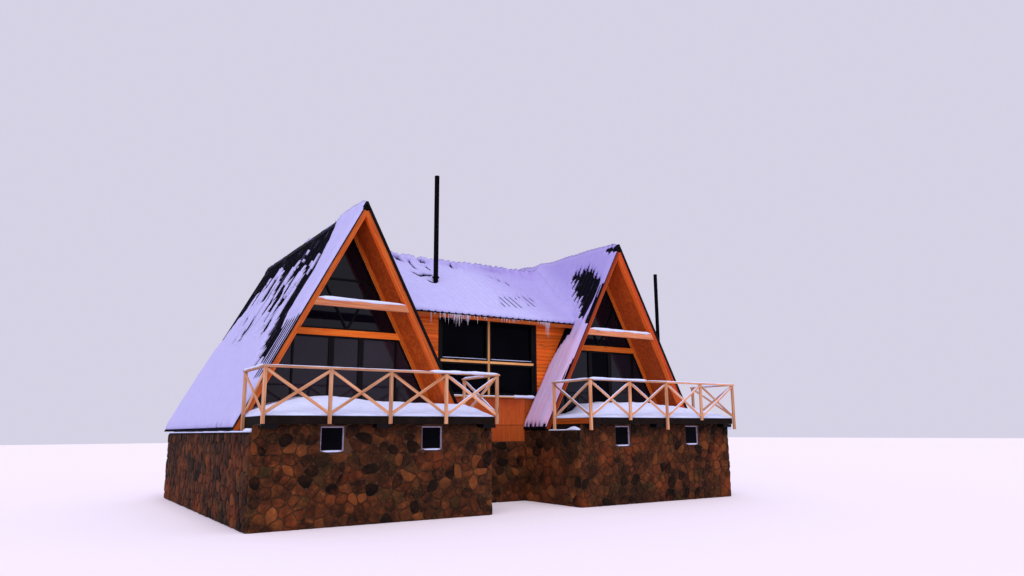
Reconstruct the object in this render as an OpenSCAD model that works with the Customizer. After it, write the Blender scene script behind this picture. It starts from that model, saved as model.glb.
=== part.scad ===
/* [Site and storeys] */
// Height of the main floor above the underside of the stone base
base_h = 2200; // [1800:50:2600]
// Thickness of the main floor between the wings' walls
floor_t = 310; // [240:10:360]
// Thickness of the balcony slab and of its dark fascia
deck_t = 160; // [120:10:200]

/* [Wings] */
// Width of one railing bay, centre to centre of its posts
bay = 1325; // [1280:5:1370]
// Clear width between the corner posts of the two balconies
wing_gap = 2780; // [2700:10:3100]
// Pitch of the wing roof in degrees
roof_pitch = 62.4; // [61:0.1:64]
// Reach of the roof's surface past the corner posts' middle, at the floor
roof_reach = 68.5; // [50:0.5:120]
// Length of the wing roof along its ridge
roof_l = 8800; // [8400:50:9400]
// Reach of the wing roof in front of its glazed gable
porch = 1075; // [900:5:1200]
// Reach of the wing roof behind its back gable wall
back_verge = 600; // [400:10:800]
// Height of the roof's foot below the floor
foot_drop = 270; // [200:10:290]

/* [Roof build-up] */
// Thickness of the timber roof shell, with its lining
shell_t = 105; // [90:5:150]
// Thickness of the flat part of the roofing
sheet_t = 20; // [12:1:30]
// Height of the ribs on the roofing
rib_h = 25; // [15:1:35]
// Width of a rib at its foot
rib_w = 60; // [40:1:80]
// Width of a rib at its top
rib_top = 24; // [16:1:36]
// Spacing of the ribs
rib_pitch = 200; // [180:5:320]
// Girth of one side of a ridge cap
cap_w = 170; // [120:5:220]
// Thickness of a ridge cap
cap_t = 8; // [6:1:12]
// Reach of the roofing past a barge board
verge_out = 15; // [5:1:30]

/* [Barge boards and beams] */
// Thickness of a barge board along the ridge
barge_t = 165; // [60:1:200]
// Depth from the roof's surface to the lower edge of a barge board
barge_d = 162; // [140:1:230]
// Depth from the roof's surface to the lower edge of a gable rafter
rafter_d = 235; // [225:1:260]
// Thickness of the gable rafters and storey beam along the ridge
rafter_t = 90; // [70:1:110]
// Top of the left wing's storey beam above the floor
left_beam_z = 2150; // [2100:5:2300]
// Top of the right wing's storey beam above the floor
right_beam_z = 2215; // [2100:5:2300]
// Height of the storey beam
beam_h = 160; // [120:5:200]
// Top of the left wing's collar beam above the floor
left_collar_z = 2725; // [2600:5:2900]
// Top of the right wing's collar beam above the floor
right_collar_z = 2560; // [2480:10:2700]
// Height of a collar beam
collar_h = 175; // [140:5:200]
// Thickness of a collar beam along the ridge
collar_t = 60; // [45:1:80]

/* [Gable glazing] */
// Width of the glazing bars
bar_w = 45; // [30:1:60]
// Width of the two middle posts of the lower glazing
door_post_w = 130; // [100:5:150]
// Distance from the gable's middle to a middle post
door_post_x = 380; // [360:5:450]
// Distance from the gable's middle to an outer post
side_post_x = 1320; // [1200:10:1400]
// Depth of the glazing bars
bar_t = 40; // [30:1:60]
// Set-back of the bars from the inner face of the gable rafters
bar_set = 10; // [5:1:20]
// Thickness of the glass
glass_t = 12; // [8:1:20]

/* [Balconies] */
// Distance from the corner posts back to the wing roof
deck_out = 1725; // [1600:5:1900]
// Depth of a side bay of the railing
side_bay = 1540; // [1400:5:1580]
// Width of a railing post
post_w = 70; // [60:1:90]
// Height of the handrail's top above the balcony
rail_h = 975; // [900:5:1100]
// Width of the handrail
rail_w = 95; // [80:1:120]
// Thickness of the handrail
rail_t = 42; // [30:1:60]
// Width of a diagonal brace
brace_w = 62; // [45:1:80]
// Thickness of a diagonal brace
brace_t = 34; // [25:1:45]
// Height of the lower ends of the braces above the balcony
brace_z = 25; // [10:1:60]
// Reach of a handrail past its last post
rail_out = 20; // [10:1:40]
// Thickness of the beams under the sides of a balcony
rim_t = 60; // [45:1:80]
// Distance from the stone front back to the ends of those beams
rim_set = 50; // [30:5:80]
// Depth of the lower ends of the left balcony's posts below its surface
left_post_drop = 160; // [120:5:200]
// Depth of the lower ends of the right balcony's short posts
short_post_drop = 60; // [40:5:100]

/* [Balcony snow] */
// Height of the snow at a balcony's front edge
drift_edge = 60; // [20:5:80]
// Greatest height of the left balcony's snow, against the glass
left_drift_h = 510; // [300:10:700]
// Greatest height of the right balcony's snow
right_drift_h = 510; // [300:10:700]
// Share of its height a drift has reached at its brow
drift_brow = 0.9; // [0.6:0.05:0.95]
// Distance of the brow in front of the porch roof
drift_out = 400; // [200:10:900]
// Distance of the snow from the railing
drift_set = 15; // [5:1:40]

/* [Stone base] */
// Thickness of the stone walls
stone_t = 400; // [300:10:450]
// Distance from the post line back to the stone front
stone_set = 300; // [200:10:400]
// Reach of the stone past the left corner post
stone_left = 120; // [60:5:140]
// Reach of the stone past the right corner post
stone_right = 30; // [10:5:60]
// Reach of the stone past the timber walls that stand on it
ledge = 25; // [10:1:40]
// Thickness of the basement floor
slab_t = 150; // [100:10:200]
// Width of a basement window
cellar_w = 505; // [400:5:600]
// Height of a basement window
cellar_h = 500; // [400:10:600]
// Depth of a basement window's head below the floor
cellar_drop = 210; // [205:5:300]
// Width of the frame of a basement window
cellar_frame = 24; // [20:1:60]
// Depth of the frame of a basement window
cellar_frame_t = 60; // [50:1:90]
// Set-back of a basement window from the face of the stone
cellar_set = 30; // [20:5:80]
// Distance from the wing's middle to the left wing's basement windows
cellar_x = 1140; // [900:10:1300]
// Distance from the right wing's middle to its left basement window
far_cellar_x = 1350; // [1300:10:1600]
// Distance from the right wing's middle to its right basement window
near_cellar_x = 1220; // [900:10:1300]

/* [Link] */
// Depth of the link from wall face to wall face
link_d = 6000; // [5600:50:6200]
// Thickness of the timber walls
wall_t = 150; // [120:5:180]
// Pitch of the link roof in degrees
link_pitch = 32; // [30:0.5:33]
// Height of the link roof's edge above the floor
link_eave_z = 2810; // [2750:10:2860]
// Reach of the link roof past its walls
link_eave = 400; // [300:10:500]
// Height of the fascia board
fascia_h = 110; // [90:5:180]
// Thickness of the fascia board
fascia_t = 30; // [20:1:40]
// Depth of the link wall's lower edge below the floor
skirt = 600; // [450:10:700]
// Mean width of wall left beside the link window, at its sill
win_side = 110; // [100:1:300]
// Distance from the link's middle to the window's middle, to the right
win_shift = 90; // [0:5:95]
// Height of the link window's sill above the floor
win_sill = 620; // [600:10:900]
// Height of the link window's head above the floor
win_head = 2745; // [2500:5:2760]
// Height of the middle of the transom above the floor
transom_z = 1545; // [1300:5:1700]
// Width of the windows' frames and bars
frame_w = 65; // [50:1:80]
// Width of the outer frame of the link window
jamb_w = 35; // [25:1:60]
// Depth of the link window's frame
frame_t = 90; // [70:1:120]
// Reach of a window frame past the face of its wall
frame_out = 12; // [5:1:20]

/* [Back gables] */
// Width of the back window
back_win_w = 1900; // [1400:10:2200]
// Height of the back window's sill above the floor
back_sill = 850; // [700:10:1000]
// Height of the back window's head above the floor
back_head = 2000; // [1900:10:2050]
// Height of the foot of the back gable's upper window above the floor
loft_z = 2450; // [2300:10:2700]
// Width of wall left round the back gable's upper window
loft_rim = 260; // [200:10:320]

/* [Flues] */
// Diameter of the link's flue
flue_d = 142; // [120:1:180]
// Distance from the link's middle to its flue
flue_x = 865; // [700:5:1100]
// Distance from the link's ridge forward to its flue
flue_y = 1600; // [1200:10:1800]
// Height of the link's flue above the floor
flue_z = 7200; // [6500:50:7600]
// Diameter of the right wing's flue
side_flue_d = 120; // [100:1:150]
// Distance from the right wing's middle to its flue
side_flue_x = 3010; // [2860:10:3100]
// Distance from the link's ridge forward to the right wing's flue
side_flue_y = 2500; // [2000:10:2700]
// Height of the right wing's flue above the floor
side_flue_z = 4900; // [4500:50:5200]
// Height of the tee at the foot of the right wing's flue above the floor
tee_z = 560; // [450:10:800]
// Length of the tee's leg below its branch
tee_leg = 160; // [120:10:250]
// Thickness of the wall of a flue
flue_wall = 12; // [8:1:20]
// Depth of the open mouth of a flue
flue_mouth = 400; // [200:50:600]
// Height of the collar round the link's flue
collar_ring_h = 40; // [30:1:60]
// Reach of that collar past the pipe
collar_ring_w = 30; // [15:1:40]
// Side of a flashing plate
flashing_w = 420; // [350:10:600]
// Thickness of a flashing plate
flashing_t = 6; // [4:1:10]

/* [Hidden] */
$fn = 24;

// Clearance between pieces that rest against each other
fit = 0.3;
// Clearance between the link and the wings' roofing
scribe = 3;
// Overlap of joined solids
lap = 1;
// Length by which a cutting shape runs past what it cuts
past = 200;

// Number of bays across a balcony
bays = 4;
deck_w = bays * bay;
wing_x = (deck_w + wing_gap) / 2;

// Height of the wing ridge above the floor
ridge_h = (deck_w / 2 + roof_reach) * tan(roof_pitch);

// Places along Y, from the link's ridge at 0, with the front at the negative end
gable_y = -link_d / 2;
roof_front = gable_y - porch;
roof_back = roof_front + roof_l;
back_y = roof_back - back_verge;
post_y = roof_front - deck_out;
stone_front = post_y + stone_set;
stone_back = back_y + ledge;
floor_front = gable_y - rafter_t - bar_set;

// Depths square to the wing's slope, from the tops of the ribs
sheet_d = rib_h + sheet_t;
soffit_d = sheet_d + shell_t;

// Half widths of slabs and walls, from a wing's middle
deck_half = deck_w / 2 - post_w / 2 - fit;
floor_half = half(0, across(sheet_d)) - fit;
stone_l = deck_w / 2 + stone_left;
stone_r = deck_w / 2 + stone_right;

link_ridge_z = link_eave_z + (link_d / 2 + link_eave) * tan(link_pitch);
win_w = 2 * (link_half(win_sill) - win_side);

timber = "chocolate";
pine = "burlywood";
metal = "dimgray";
stone = "saddlebrown";
black = "black";
pane = "slategray";
lime = "gainsboro";
frost = "lavender";

// The balconies' snow, from left to right: place across and share of its greatest height
left_drift = [[-1, 0.15], [-0.72, 0.67], [-0.48, 0.94], [-0.3, 1], [-0.14, 0.94], [0.06, 0.79], [1, 0.75]];
right_drift = [[-1, 0.15], [-0.56, 0.32], [-0.45, 0.5], [-0.34, 0.9], [-0.12, 1], [0.24, 0.98], [1, 0.66]];

// Horizontal width of a layer that is t thick square to the wing's slope
function across(t) = t / sin(roof_pitch);
// Half width of the wing roof at height z, less an inset
function half(z, inset = 0) = (ridge_h - z) / tan(roof_pitch) - inset;
// Height at which the wing roof, less an inset, is x from its middle
function rise(x, inset = 0) = ridge_h - (x + inset) * tan(roof_pitch);
// Half width of the link wall at height z
function link_half(z) = wing_x - half(z) - scribe;
// Height of the link roof's surface, y from its ridge, less a depth square to it
function link_top(y, d = 0) = link_ridge_z - abs(y) * tan(link_pitch) - d / cos(link_pitch);

module at_wing(side) {
    translate([side * wing_x, 0, base_h]) children();
}

module at_floor() {
    translate([0, 0, base_h]) children();
}

// A profile in X and Z, from y0 back to y1
module along_y(y0, y1) {
    translate([0, y1, 0]) rotate([90, 0, 0]) linear_extrude(y1 - y0) children();
}

// A profile in Y and Z, from x0 right to x1
module along_x(x0, x1) {
    translate([x0, 0, 0]) rotate([90, 0, 90]) linear_extrude(x1 - x0) children();
}

// A box between two corners
module block(low, high) {
    translate(low) cube(high - low);
}

module both_sides() {
    children();
    mirror([1, 0, 0]) children();
}

module both_wings() {
    at_wing(-1) children();
    at_wing(1) children();
}

// One raking layer of the right slope, between two depths, from height z up to its mitre
module rake(d0, d1, z) {
    polygon([
        [half(z, across(d1)), z],
        [half(z, across(d0)), z],
        [fit, rise(fit, across(d0))],
        [fit, rise(fit, across(d1))]
    ]);
}

// The space that a wing and its roofing fill
module wing_space(gap) {
    along_y(roof_front - past, roof_back + past)
        polygon([
            [-half(-floor_t, -gap), -floor_t],
            [half(-floor_t, -gap), -floor_t],
            [0, rise(0, -gap)]
        ]);
}

// Ribbed roofing of width w and length l, ribs running along its length
module ribbed_sheet(w, l) {
    count = floor((w - rib_w) / rib_pitch);
    first = (w - count * rib_pitch) / 2;
    linear_extrude(l) {
        square([w, sheet_t]);
        for (i = [0 : count])
            translate([first + i * rib_pitch, sheet_t])
                polygon([
                    [-rib_w / 2, -lap],
                    [rib_w / 2, -lap],
                    [rib_top / 2, rib_h],
                    [-rib_top / 2, rib_h]
                ]);
    }
}

// Stone base

module basement_floor() {
    color(lime) {
        both_wings()
            block([-stone_l + stone_t + fit, stone_front + stone_t + fit, -base_h],
                  [stone_r - stone_t - fit, stone_back - stone_t - fit, -base_h + slab_t]);
        block([-wing_x + stone_r + fit, gable_y + stone_t, 0],
              [wing_x - stone_l - fit, -gable_y - stone_t, slab_t]);
    }
}

module base_front_wall(side, left_x, right_x) {
    color(stone) at_wing(side) difference() {
        block([-stone_l + stone_t + fit, stone_front, -base_h],
              [stone_r - stone_t - fit, stone_front + stone_t, -deck_t - fit]);
        for (x = [-left_x, right_x])
            cellar_opening(x);
    }
}

module cellar_opening(x) {
    block([x - cellar_w / 2, stone_front - past, -cellar_drop - cellar_h],
          [x + cellar_w / 2, stone_front + stone_t + past, -cellar_drop]);
}

module base_side_wall(x0) {
    block([x0, stone_front, -base_h], [x0 + stone_t, stone_back, -floor_t - fit]);
}

module left_base_outer_wall() {
    color(stone) at_wing(-1) base_side_wall(-stone_l);
}

module right_base_outer_wall() {
    color(stone) at_wing(1) base_side_wall(stone_r - stone_t);
}

module base_inner_walls() {
    color(stone) {
        at_wing(-1) base_side_wall(stone_r - stone_t);
        at_wing(1) base_side_wall(-stone_l);
    }
}

module base_back_walls() {
    color(stone) both_wings()
        block([-stone_l + stone_t + fit, stone_back - stone_t, -base_h],
              [stone_r - stone_t - fit, stone_back, -floor_t - fit]);
}

module link_base_walls() {
    color(stone) for (turn = [0, 1])
        mirror([0, turn, 0])
            block([-wing_x + stone_r + fit, gable_y - ledge, 0],
                  [wing_x - stone_l - fit, gable_y + stone_t - fit, base_h - skirt - fit]);
}

module cellar_frame_ring() {
    difference() {
        square([cellar_w - 2 * fit, cellar_h - 2 * fit], center = true);
        square([cellar_w - 2 * cellar_frame, cellar_h - 2 * cellar_frame], center = true);
    }
}

module at_cellar_windows() {
    z = -cellar_drop - cellar_h / 2;
    at_wing(-1) for (x = [-cellar_x, cellar_x])
        translate([x, 0, z]) children();
    at_wing(1) for (x = [-far_cellar_x, near_cellar_x])
        translate([x, 0, z]) children();
}

module basement_window_frames() {
    front = stone_front + cellar_set;
    color(lime) at_cellar_windows()
        along_y(front, front + cellar_frame_t) cellar_frame_ring();
}

module basement_window_glass() {
    front = stone_front + cellar_set + cellar_frame_t / 2;
    inset = cellar_frame + fit;
    color(pane) at_cellar_windows()
        along_y(front, front + glass_t)
            square([cellar_w - 2 * inset, cellar_h - 2 * inset], center = true);
}

// Floors and balconies

module main_floor() {
    color(timber) {
        both_wings()
            block([-floor_half, floor_front, -floor_t], [floor_half, back_y, 0]);
        at_floor() difference() {
            block([-wing_x, gable_y + wall_t + fit, -floor_t],
                  [wing_x, -gable_y - wall_t - fit, 0]);
            for (side = [-1, 1])
                translate([side * wing_x, 0, 0]) wing_space(fit);
        }
    }
}

// The space that the feet of the front barge boards fill
module barge_feet() {
    both_sides()
        along_y(roof_front - fit, roof_front + barge_t + fit)
            rake(sheet_d, barge_d + fit, -foot_drop - fit);
}

module deck(side) {
    color(black) at_wing(side) difference() {
        block([-deck_half, post_y + post_w / 2 + fit, -deck_t], [deck_half, floor_front - fit, 0]);
        barge_feet();
    }
}

module deck_rim_beams() {
    color(timber) both_wings() difference() {
        both_sides()
            block([deck_half - rim_t, stone_front + rim_set, -floor_t],
                  [deck_half, floor_front - fit, -deck_t - fit]);
        barge_feet();
    }
}

// Wing roofs

module slope(side, turn) {
    color(timber) at_wing(side) mirror([turn, 0, 0])
        along_y(roof_front + barge_t + fit, roof_back - barge_t - fit)
            rake(sheet_d + fit, soffit_d, fit);
}

module wing_roofing(side) {
    sheet_l = (rise(0, across(sheet_d)) + foot_drop) / sin(roof_pitch);
    front = roof_front - verge_out;
    width = roof_l + 2 * verge_out;
    color(metal) at_wing(side) {
        both_sides()
            translate([fit, front, rise(fit, across(sheet_d))])
                rotate([0, 90 + roof_pitch, 0]) rotate([0, 0, 90]) ribbed_sheet(width, sheet_l);
        along_y(front, front + width)
            ridge_cap(roof_pitch, ridge_h);
    }
}

// A folded cap over a ridge of the given pitch, whose ribs' tops meet at height z
module ridge_cap(pitch, z) {
    over = z + (fit + cap_t) / cos(pitch);
    under = z + fit / cos(pitch);
    x = cap_w * cos(pitch);
    drop = cap_w * sin(pitch);
    polygon([
        [0, over],
        [x, over - drop],
        [x, under - drop],
        [0, under],
        [-x, under - drop],
        [-x, over - drop]
    ]);
}

module barge_boards(side) {
    color(timber) at_wing(side)
        for (y = [roof_front, roof_back - barge_t])
            both_sides() along_y(y, y + barge_t) rake(sheet_d + fit, barge_d, -foot_drop);
}

module collar(side, top) {
    inset = across(barge_d) + fit;
    at_wing(side) along_y(roof_front, roof_front + collar_t)
        polygon([
            [-half(top - collar_h, inset), top - collar_h],
            [half(top - collar_h, inset), top - collar_h],
            [half(top, inset), top],
            [-half(top, inset), top]
        ]);
}

module collar_beams() {
    color(pine) {
        collar(-1, left_collar_z);
        collar(1, right_collar_z);
    }
}

// Front gables

module gable_frame(side, beam_z) {
    inset = across(rafter_d) + fit;
    foot = beam_z - beam_h;
    color(timber) at_wing(side) along_y(gable_y - rafter_t, gable_y) {
        both_sides() rake(soffit_d + fit, rafter_d, fit);
        polygon([
            [-half(foot, inset), foot],
            [half(foot, inset), foot],
            [half(beam_z, inset), beam_z],
            [-half(beam_z, inset), beam_z]
        ]);
    }
}

// The triangle or trapezium between the gable rafters, from height z0 to z1
module glazed_shape(z0, z1, inset) {
    x0 = half(z0, inset);
    x1 = max(0, half(z1, inset));
    polygon(x1 > 0 ? [[-x0, z0], [x0, z0], [x1, z1], [-x1, z1]] : [[-x0, z0], [x0, z0], [0, rise(0, inset)]]);
}

module glazing_bars_shape(beam_z) {
    edge = across(rafter_d) + fit;
    rim = edge + across(bar_w);
    low_top = beam_z - beam_h - fit;
    loft = beam_z + fit;
    loft_top = rise(0, edge);
    middle = (loft + loft_top) / 2;
    // lower storey
    difference() {
        glazed_shape(2 * fit, low_top, edge);
        glazed_shape(bar_w, low_top - bar_w, rim);
    }
    for (x = [-door_post_x, door_post_x])
        translate([x - door_post_w / 2, bar_w - lap]) square([door_post_w, low_top - 2 * bar_w + 2 * lap]);
    for (x = [-side_post_x, side_post_x])
        intersection() {
            translate([x - bar_w / 2, bar_w - lap]) square([bar_w, low_top - 2 * bar_w + 2 * lap]);
            glazed_shape(2 * fit, low_top, edge);
        }
    // loft triangle
    difference() {
        glazed_shape(loft, loft_top, edge);
        glazed_shape(loft + bar_w, loft_top, rim);
    }
    intersection() {
        glazed_shape(loft, loft_top, edge);
        union() {
            translate([-half(middle), middle - bar_w / 2]) square([2 * half(middle), bar_w]);
            both_arms(loft, middle);
        }
    }
}

// Two bars that rise from the middle of the loft's foot, parallel to the slopes
module both_arms(z0, z1) {
    reach = (z1 - z0) / tan(roof_pitch);
    for (turn = [0, 1])
        mirror([turn, 0])
            polygon([
                [-across(bar_w) / 2, z0],
                [across(bar_w) / 2, z0],
                [reach + across(bar_w) / 2, z1],
                [reach - across(bar_w) / 2, z1]
            ]);
}

module gable_bars(side, beam_z) {
    color(black) at_wing(side) along_y(gable_y - bar_set - bar_t, gable_y - bar_set)
        glazing_bars_shape(beam_z);
}

module gable_glass(side, beam_z) {
    edge = across(rafter_d) + fit;
    front = gable_y - bar_set + fit;
    color(pane) at_wing(side) along_y(front, front + glass_t) {
        glazed_shape(fit, beam_z - beam_h - fit, edge);
        glazed_shape(beam_z + fit, rise(0, edge), edge);
    }
}

// Back gables

module loft_window(inset) {
    glazed_shape(loft_z + inset, ridge_h, across(soffit_d + loft_rim) + across(inset));
}

module back_gable(side) {
    color(timber) at_wing(side) along_y(back_y - wall_t, back_y) difference() {
        glazed_shape(fit, ridge_h, across(soffit_d) + fit);
        translate([-back_win_w / 2, back_sill]) square([back_win_w, back_head - back_sill]);
        loft_window(0);
    }
}

module back_window_frames() {
    color(pine) both_wings() along_y(back_y - wall_t / 2, back_y + frame_out) {
        difference() {
            translate([-back_win_w / 2 + fit, back_sill + fit])
                square([back_win_w - 2 * fit, back_head - back_sill - 2 * fit]);
            for (x = [-back_win_w / 2 + frame_w, frame_w / 2])
                translate([x, back_sill + frame_w])
                    square([back_win_w / 2 - 1.5 * frame_w, back_head - back_sill - 2 * frame_w]);
        }
        difference() {
            loft_window(fit);
            loft_window(frame_w);
        }
    }
}

// Link

module link_wall() {
    top = link_top(link_d / 2, soffit_d) - fit;
    foot_x = link_half(-foot_drop);
    color(timber) at_floor() along_y(gable_y, gable_y + wall_t) difference() {
        polygon([
            [-wing_x + stone_r + fit, -skirt],
            [wing_x - stone_l - fit, -skirt],
            [wing_x - stone_l - fit, -floor_t - fit],
            [foot_x, -floor_t - fit],
            [foot_x, -foot_drop],
            [link_half(top), top],
            [-link_half(top), top],
            [-foot_x, -foot_drop],
            [-foot_x, -floor_t - fit],
            [-wing_x + stone_r + fit, -floor_t - fit]
        ]);
        translate([win_shift - win_w / 2, win_sill]) square([win_w, win_head - win_sill]);
    }
}

module link_window_pane() {
    translate([win_shift - win_w / 2 + fit, win_sill + fit])
        square([win_w - 2 * fit, win_head - win_sill - 2 * fit]);
}

module link_window_frame() {
    light_w = (win_w - frame_w) / 2 - jamb_w;
    difference() {
        link_window_pane();
        for (x = [win_shift - win_w / 2 + jamb_w, win_shift + frame_w / 2]) {
            translate([x, win_sill + jamb_w])
                square([light_w, transom_z - win_sill - jamb_w - frame_w / 2]);
            translate([x, transom_z + frame_w / 2])
                square([light_w, win_head - transom_z - jamb_w - frame_w / 2]);
        }
    }
}

module link_window_frames() {
    color(pine) at_floor() for (turn = [0, 1])
        mirror([0, turn, 0]) along_y(gable_y - frame_out, gable_y - frame_out + frame_t)
            link_window_frame();
}

module window_glass() {
    front = gable_y - frame_out + frame_t + fit;
    color(pane) {
        at_floor() for (turn = [0, 1])
            mirror([0, turn, 0])
                along_y(front, front + glass_t) link_window_pane();
        both_wings()
            along_y(back_y - wall_t / 2 - fit - glass_t, back_y - wall_t / 2 - fit) {
                translate([-back_win_w / 2 + fit, back_sill + fit])
                    square([back_win_w - 2 * fit, back_head - back_sill - 2 * fit]);
                loft_window(fit);
            }
    }
}

module link_slope(turn) {
    eave_y = link_d / 2 + link_eave;
    color(timber) at_floor() mirror([0, turn, 0]) difference() {
        along_x(-wing_x, wing_x)
            polygon([
                [-eave_y, link_top(eave_y, sheet_d + fit)],
                [-eave_y, link_top(eave_y, soffit_d)],
                [-fit, link_top(fit, soffit_d)],
                [-fit, link_top(fit, sheet_d + fit)]
            ]);
        for (side = [-1, 1])
            translate([side * wing_x, 0, 0]) wing_space(scribe);
    }
}

module link_roofing() {
    eave_y = link_d / 2 + link_eave;
    sheet_l = (eave_y + verge_out + fascia_t) / cos(link_pitch);
    color(metal) at_floor() difference() {
        union() {
            for (turn = [0, 1])
                mirror([0, turn, 0])
                    translate([-wing_x, -fit, link_top(fit, sheet_d)])
                        rotate([90 + link_pitch, 0, 0]) ribbed_sheet(2 * wing_x, sheet_l);
            along_x(-wing_x, wing_x) ridge_cap(link_pitch, link_top(0));
        }
        for (side = [-1, 1])
            translate([side * wing_x, 0, 0]) wing_space(scribe);
    }
}

module link_fascias() {
    eave_y = link_d / 2 + link_eave;
    top = link_top(eave_y + fascia_t, sheet_d) - fit;
    color(timber) at_floor() for (turn = [0, 1])
        mirror([0, turn, 0]) along_y(-eave_y - fascia_t, -eave_y - fit)
            polygon([
                [-link_half(top - fascia_h), top - fascia_h],
                [link_half(top - fascia_h), top - fascia_h],
                [link_half(top), top],
                [-link_half(top), top]
            ]);
}

// Railings

// One bay from x0 to x1: two crossing braces, cut at the faces of the posts
module crossed_braces(x0, x1) {
    low = brace_z;
    high = rail_h - rail_t;
    run = x1 - x0;
    tilt = atan((high - low - brace_w) / run);
    intersection() {
        translate([x0, low]) square([run, high - low]);
        translate([(x0 + x1) / 2, (low + high) / 2])
            for (a = [-tilt, tilt])
                rotate(a) square([2 * run, brace_w], center = true);
    }
}

// Posts, braces and handrail in the plane of X and Z, given the drop of each post
module railing_posts(xs, drops) {
    for (i = [0 : len(xs) - 1])
        translate([xs[i] - post_w / 2, -drops[i]]) square([post_w, rail_h - rail_t + drops[i]]);
}

module front_railing(side, drops) {
    xs = [for (i = [0 : bays]) -deck_w / 2 + i * bay];
    reach = deck_w / 2 + post_w / 2 + rail_out;
    color(pine) at_wing(side) {
        along_y(post_y - post_w / 2, post_y + post_w / 2) railing_posts(xs, drops);
        along_y(post_y - brace_t / 2, post_y + brace_t / 2)
            for (i = [0 : bays - 1])
                crossed_braces(xs[i] + post_w / 2 - lap, xs[i + 1] - post_w / 2 + lap);
        block([-reach, post_y - rail_w / 2, rail_h - rail_t], [reach, post_y + rail_w / 2, rail_h]);
    }
}

module side_railings(side) {
    start = post_y + post_w / 2 + fit;
    end = post_y + side_bay;
    color(pine) at_wing(side) for (x = [-deck_w / 2, deck_w / 2]) {
        translate([x, 0, 0]) {
            block([-post_w / 2, end - post_w / 2, -floor_t], [post_w / 2, end + post_w / 2, rail_h - rail_t]);
            along_x(-brace_t / 2, brace_t / 2) crossed_braces(start, end - post_w / 2 + lap);
            block([-rail_w / 2, post_y + rail_w / 2 + fit, rail_h - rail_t],
                  [rail_w / 2, end + post_w / 2 + rail_out, rail_h]);
        }
    }
}

// Snow drifted against the glazing

// The snow's section at one place across a balcony
module drift_slice(p, h) {
    x = p[0] * (deck_half - drift_set);
    front = post_y + post_w / 2 + drift_set;
    along_x(x - lap / 2, x + lap / 2)
        polygon([
            [front, fit],
            [floor_front - fit, fit],
            [floor_front - fit, p[1] * h],
            [roof_front - drift_out, drift_brow * p[1] * h],
            [front, drift_edge]
        ]);
}

// The snow of one balcony, cut back from the porch's roof
module balcony_snow(side, drift, h) {
    color(frost) at_wing(side) difference() {
        for (i = [0 : len(drift) - 2])
            hull() {
                drift_slice(drift[i], h);
                drift_slice(drift[i + 1], h);
            }
        both_sides() along_y(roof_front - fit, floor_front)
            polygon([
                [half(0, across(barge_d) + fit), 0],
                [deck_w, 0],
                [deck_w, h + lap],
                [half(h + lap, across(barge_d) + fit), h + lap]
            ]);
    }
}

// Flues

// A pipe with an open mouth
module flue(d, foot, top) {
    translate([0, 0, foot]) difference() {
        cylinder(d = d, h = top - foot);
        translate([0, 0, top - foot - flue_mouth]) cylinder(d = d - 2 * flue_wall, h = flue_mouth + lap);
    }
}

// A flashing plate, centred on the roof it lies on
module flashing_plate() {
    translate([0, 0, flashing_t / 2]) cube([flashing_w, flashing_w, flashing_t], center = true);
}

// The flue over the link, cut at the roof it stands on, with its flashing
module link_flue() {
    seat = link_top(flue_y);
    difference() {
        translate([-flue_x, -flue_y, 0]) {
            flue(flue_d, seat - flue_d, flue_z);
            translate([0, 0, seat + flue_d]) cylinder(d = flue_d + 2 * collar_ring_w, h = collar_ring_h);
            translate([0, 0, seat]) rotate([link_pitch, 0, 0]) flashing_plate();
        }
        along_x(-wing_x, wing_x)
            polygon([
                [-link_d, link_top(link_d, -fit)],
                [0, link_top(0, -fit)],
                [0, -link_d],
                [-link_d, -link_d]
            ]);
    }
}

// The flue beside the right wing, fed by a stub through the roof
module side_flue() {
    difference() {
        translate([0, -side_flue_y, 0]) {
            translate([side_flue_x, 0, 0]) flue(side_flue_d, tee_z - tee_leg, side_flue_z);
            translate([half(tee_z), 0, tee_z]) rotate([0, roof_pitch, 0]) flashing_plate();
            translate([half(tee_z) - side_flue_d, 0, tee_z]) rotate([0, 90, 0])
                cylinder(d = side_flue_d - flue_wall, h = side_flue_x - half(tee_z) + side_flue_d);
        }
        wing_space(fit);
    }
}

module flue_pipes() {
    color(black) {
        at_floor() link_flue();
        at_wing(1) side_flue();
    }
}

basement_floor();
base_front_wall(-1, cellar_x, cellar_x);  // left_base_front_wall
base_front_wall(1, far_cellar_x, near_cellar_x);  // right_base_front_wall
left_base_outer_wall();
right_base_outer_wall();
base_inner_walls();
base_back_walls();
link_base_walls();
basement_window_frames();
basement_window_glass();
main_floor();
deck(-1);  // left_deck
deck(1);  // right_deck
deck_rim_beams();
slope(-1, 1);  // left_wing_left_slope
slope(-1, 0);  // left_wing_right_slope
slope(1, 1);  // right_wing_left_slope
slope(1, 0);  // right_wing_right_slope
wing_roofing(-1);  // left_wing_roofing
wing_roofing(1);  // right_wing_roofing
barge_boards(-1);  // left_wing_barge_boards
barge_boards(1);  // right_wing_barge_boards
collar_beams();
gable_frame(-1, left_beam_z);  // left_gable_frame
gable_frame(1, right_beam_z);  // right_gable_frame
gable_bars(-1, left_beam_z);  // left_gable_bars
gable_bars(1, right_beam_z);  // right_gable_bars
gable_glass(-1, left_beam_z);  // left_gable_glass
gable_glass(1, right_beam_z);  // right_gable_glass
back_gable(-1);  // left_back_gable
back_gable(1);  // right_back_gable
back_window_frames();
link_wall();  // link_front_wall
mirror([0, 1, 0]) link_wall();  // link_back_wall
link_window_frames();
window_glass();
link_slope(0);  // link_front_slope
link_slope(1);  // link_back_slope
link_roofing();
link_fascias();
front_railing(-1, [for (i = [0 : bays]) left_post_drop]);  // left_front_railing
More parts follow.
